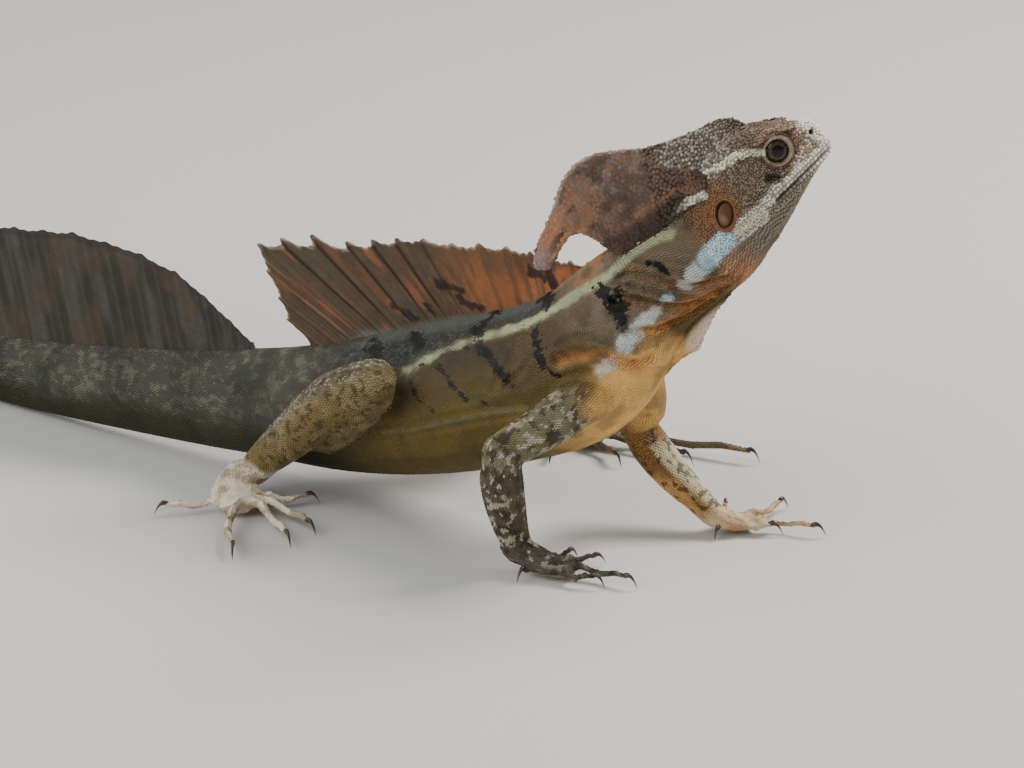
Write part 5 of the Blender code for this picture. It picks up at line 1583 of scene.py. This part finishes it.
def eyeColours(mesh):
    look = eyeLook
    back, rise, out = headCoords(toModel(meshArrays(mesh)[0]))
    far = reachFrom(look, back, rise)
    angle = np.arctan2(rise - look["rise"], back - look["back"])
    fibres = softNoise(np.stack((angle * 9, far * 1.4, 0 * far), 1), 1.0, 51)
    storePigment(mesh, lay(
        look["dark"],
        (look["fibre"], step(fibres, 0.45, 0.85) * 0.6),
        (look["ring"], 0.35 * step(0.22 - np.abs(far - look["pupil"] - 0.15), 0, 0.15)),
        (look["hole"], step(look["pupil"] - far, -0.12, 0.12)),
        (look["edge"], step(far - look["iris"], -0.3, 0.5))))


eyeMaterial = pigmentMaterial("eyeWet", {"specular": 0.3, "coarse": 400, "fine": 2500, "amount": 0.3,
                                         "rough": 0.13, "bump": 0.0})
drumMaterial = pigmentMaterial("earDrumSkin", {"specular": 0.2, "coarse": 200, "fine": 1500, "amount": 0.3,
                                               "rough": 0.5, "bump": 0.3})
for end, side in (("right", -1), ("left", 1)):
    eye = ballPiece("eyeball_" + end, eyeLook, side)
    eyeColours(eye.data)
    eye.data.materials.append(eyeMaterial)
    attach(eye, "root")
    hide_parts("eye_" + end)
    drum = ballPiece("ear_drum_" + end, drumLook, side)
    back, rise, out = headCoords(toModel(meshArrays(drum.data)[0]))
    # painted highlight: a pale comma on the lower rear of the drum; painted shade: its front kept at the
    # dark colour of the ear's hollow
    drumGlint = step(1.3 - np.hypot((back - 42.2) / 1.0, (rise - 4.6) / 1.9), 0, 0.8)
    storePigment(drum.data, lay("earIn", (drumLook["warm"], step(back, 39.6, 42.4)),
                                (drumLook["pale"], 0.8 * drumGlint)))
    drum.data.materials.append(drumMaterial)
    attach(drum, "root")
    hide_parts("eardrum_" + end)

# Claws

clawLook = {"colour": (0.055, 0.028, 0.020), "tip": (0.030, 0.018, 0.013), "sides": 14, "rings": 18,
            "arch": 0.75, "reach": 0.72, "narrow": 0.82, "low": 0.05}
clawHalves = ((-0.5, 0.7), (-0.1, 0.95), (0.25, 0.78), (0.6, 0.50), (0.85, 0.28), (1.0, 0.12))
clawMaterial = pigmentMaterial("clawHorn", {"specular": 0.5, "coarse": 300, "fine": 2500, "amount": 0.4,
                                            "rough": 0.3, "bump": 0.2})


def makeClaws():
    joined = bmesh.new()
    for toes in toeLines.values():
        for numbers in toes:
            centres, way = toeCentres(numbers)
            end = centres[-1]
            aside = np.array((-way[1], way[0], 0))
            bm = bmesh.new()
            bmesh.ops.create_uvsphere(bm, u_segments=clawLook["sides"], v_segments=clawLook["rings"],
                                      radius=1)
            for vert in bm.verts:
                share = math.acos(max(-1, min(1, -vert.co.z))) / math.pi
                t = -0.5 + 1.5 * share
                half = np.interp(t, *zip(*clawHalves)) * min(1, 3 * math.sqrt(max(share * (1 - share), 0)))
                drop = end[2] * (1 - max(t, 0) ** 2.2) + 0.3 * max(t, 0)
                drop += clawLook["arch"] * math.sin(math.pi * min(1, (t + 0.5) / 1.5))
                angle = math.atan2(vert.co.y, vert.co.x)
                spot = end + way * toeLook["claw"] * clawLook["reach"] * t
                spot = spot + aside * math.cos(angle) * half * clawLook["narrow"]
                spot[2] = max(drop + math.sin(angle) * half, clawLook["low"])
                vert.co = Vector(toWorld(spot))
            bmesh.ops.recalc_face_normals(bm, faces=bm.faces)
            joinInto(joined, bm)
    mesh = takeMesh("claws", joined, True)
    points = toModel(meshArrays(mesh)[0])
    storePigment(mesh, lay(clawLook["colour"], (clawLook["tip"], step(1.2 - points[:, 2], 0, 1))))
    mesh.materials.append(clawMaterial)
    claws = addPiece("claws", mesh)
    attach(claws, "root")
    return claws


makeClaws()

# Floor, light and camera


floorLook = {"half": 6, "colour": (0.62, 0.61, 0.58, 1), "rough": 0.75, "grain": 400, "bump": 0.05}


def makeFloor():
    bm = bmesh.new()
    bmesh.ops.create_grid(bm, x_segments=4, y_segments=4, size=floorLook["half"])
    mesh = takeMesh("floor", bm)
    material = bpy.data.materials.new("floorPaint")
    material.use_nodes = True
    tree, links = material.node_tree.nodes, material.node_tree.links
    surface = tree["Principled BSDF"]
    surface.inputs["Base Color"].default_value = floorLook["colour"]
    surface.inputs["Roughness"].default_value = floorLook["rough"]
    noise = tree.new("ShaderNodeTexNoise")
    coords = tree.new("ShaderNodeTexCoord")
    noise.inputs["Scale"].default_value = floorLook["grain"]
    bump = tree.new("ShaderNodeBump")
    bump.inputs["Strength"].default_value = floorLook["bump"]
    bump.inputs["Distance"].default_value = 0.2 * mm
    links.new(coords.outputs["Object"], noise.inputs["Vector"])
    links.new(noise.outputs["Fac"], bump.inputs["Height"])
    links.new(bump.outputs["Normal"], surface.inputs["Normal"])
    mesh.materials.append(material)
    floor = addPiece("floor", mesh)


lights = {      # place in metres, size, power in watts, colour
    "key": ((0.95, 1.05, 1.45), 0.9, 46, (1.0, 0.96, 0.90)),
    "fill": ((-0.2, -1.7, 1.3), 1.8, 36, (0.97, 0.98, 1.0)),
    "side": ((-1.5, -0.6, 1.1), 1.5, 12, (0.95, 0.97, 1.0))}
lightAim = (0.25, 0, 0.05)
studio = {"colour": (0.90, 0.91, 0.93, 1), "strength": 0.34}


def addLight(name, place, size, power, colour):
    lamp = bpy.data.lights.new(name, "AREA")
    lamp.size = size
    lamp.energy = power
    lamp.color = colour
    thing = bpy.data.objects.new(name, lamp)
    thing.location = place
    thing.rotation_mode = "QUATERNION"
    thing.rotation_quaternion = (Vector(lightAim) - Vector(place)).to_track_quat("-Z", "Y")
    bpy.context.scene.collection.objects.link(thing)


cameraLook = {"azimuth": 33, "elevation": 19, "distance": 1180, "aim": (-33.5, 0, 52.5), "pixel": 0.335,
              "across": 1024, "sensor": 36}


def addCamera():
    look = cameraLook
    turn, tip = math.radians(look["azimuth"]), math.radians(look["elevation"])
    back = np.array((math.sin(turn) * math.cos(tip), -math.cos(turn) * math.cos(tip), math.sin(tip)))
    eye = toWorld(np.array(look["aim"]) + back * look["distance"])
    lens = bpy.data.cameras.new("camera")
    lens.sensor_width = look["sensor"]
    lens.lens = look["sensor"] / (2 * (look["across"] / 2 * look["pixel"] / look["distance"]))
    lens.clip_start, lens.clip_end = 0.01, 50
    camera = bpy.data.objects.new("camera", lens)
    camera.location = eye
    camera.rotation_mode = "QUATERNION"
    camera.rotation_quaternion = Vector(-back).to_track_quat("-Z", "Y")
    bpy.context.scene.collection.objects.link(camera)
    bpy.context.scene.camera = camera


makeFloor()
for name, numbers in lights.items():
    addLight(name, *numbers)
world = bpy.data.worlds.new("studio")
world.use_nodes = True
world.node_tree.nodes["Background"].inputs["Color"].default_value = studio["colour"]
world.node_tree.nodes["Background"].inputs["Strength"].default_value = studio["strength"]
bpy.context.scene.world = world
addCamera()

bpy.context.view_layer.update()
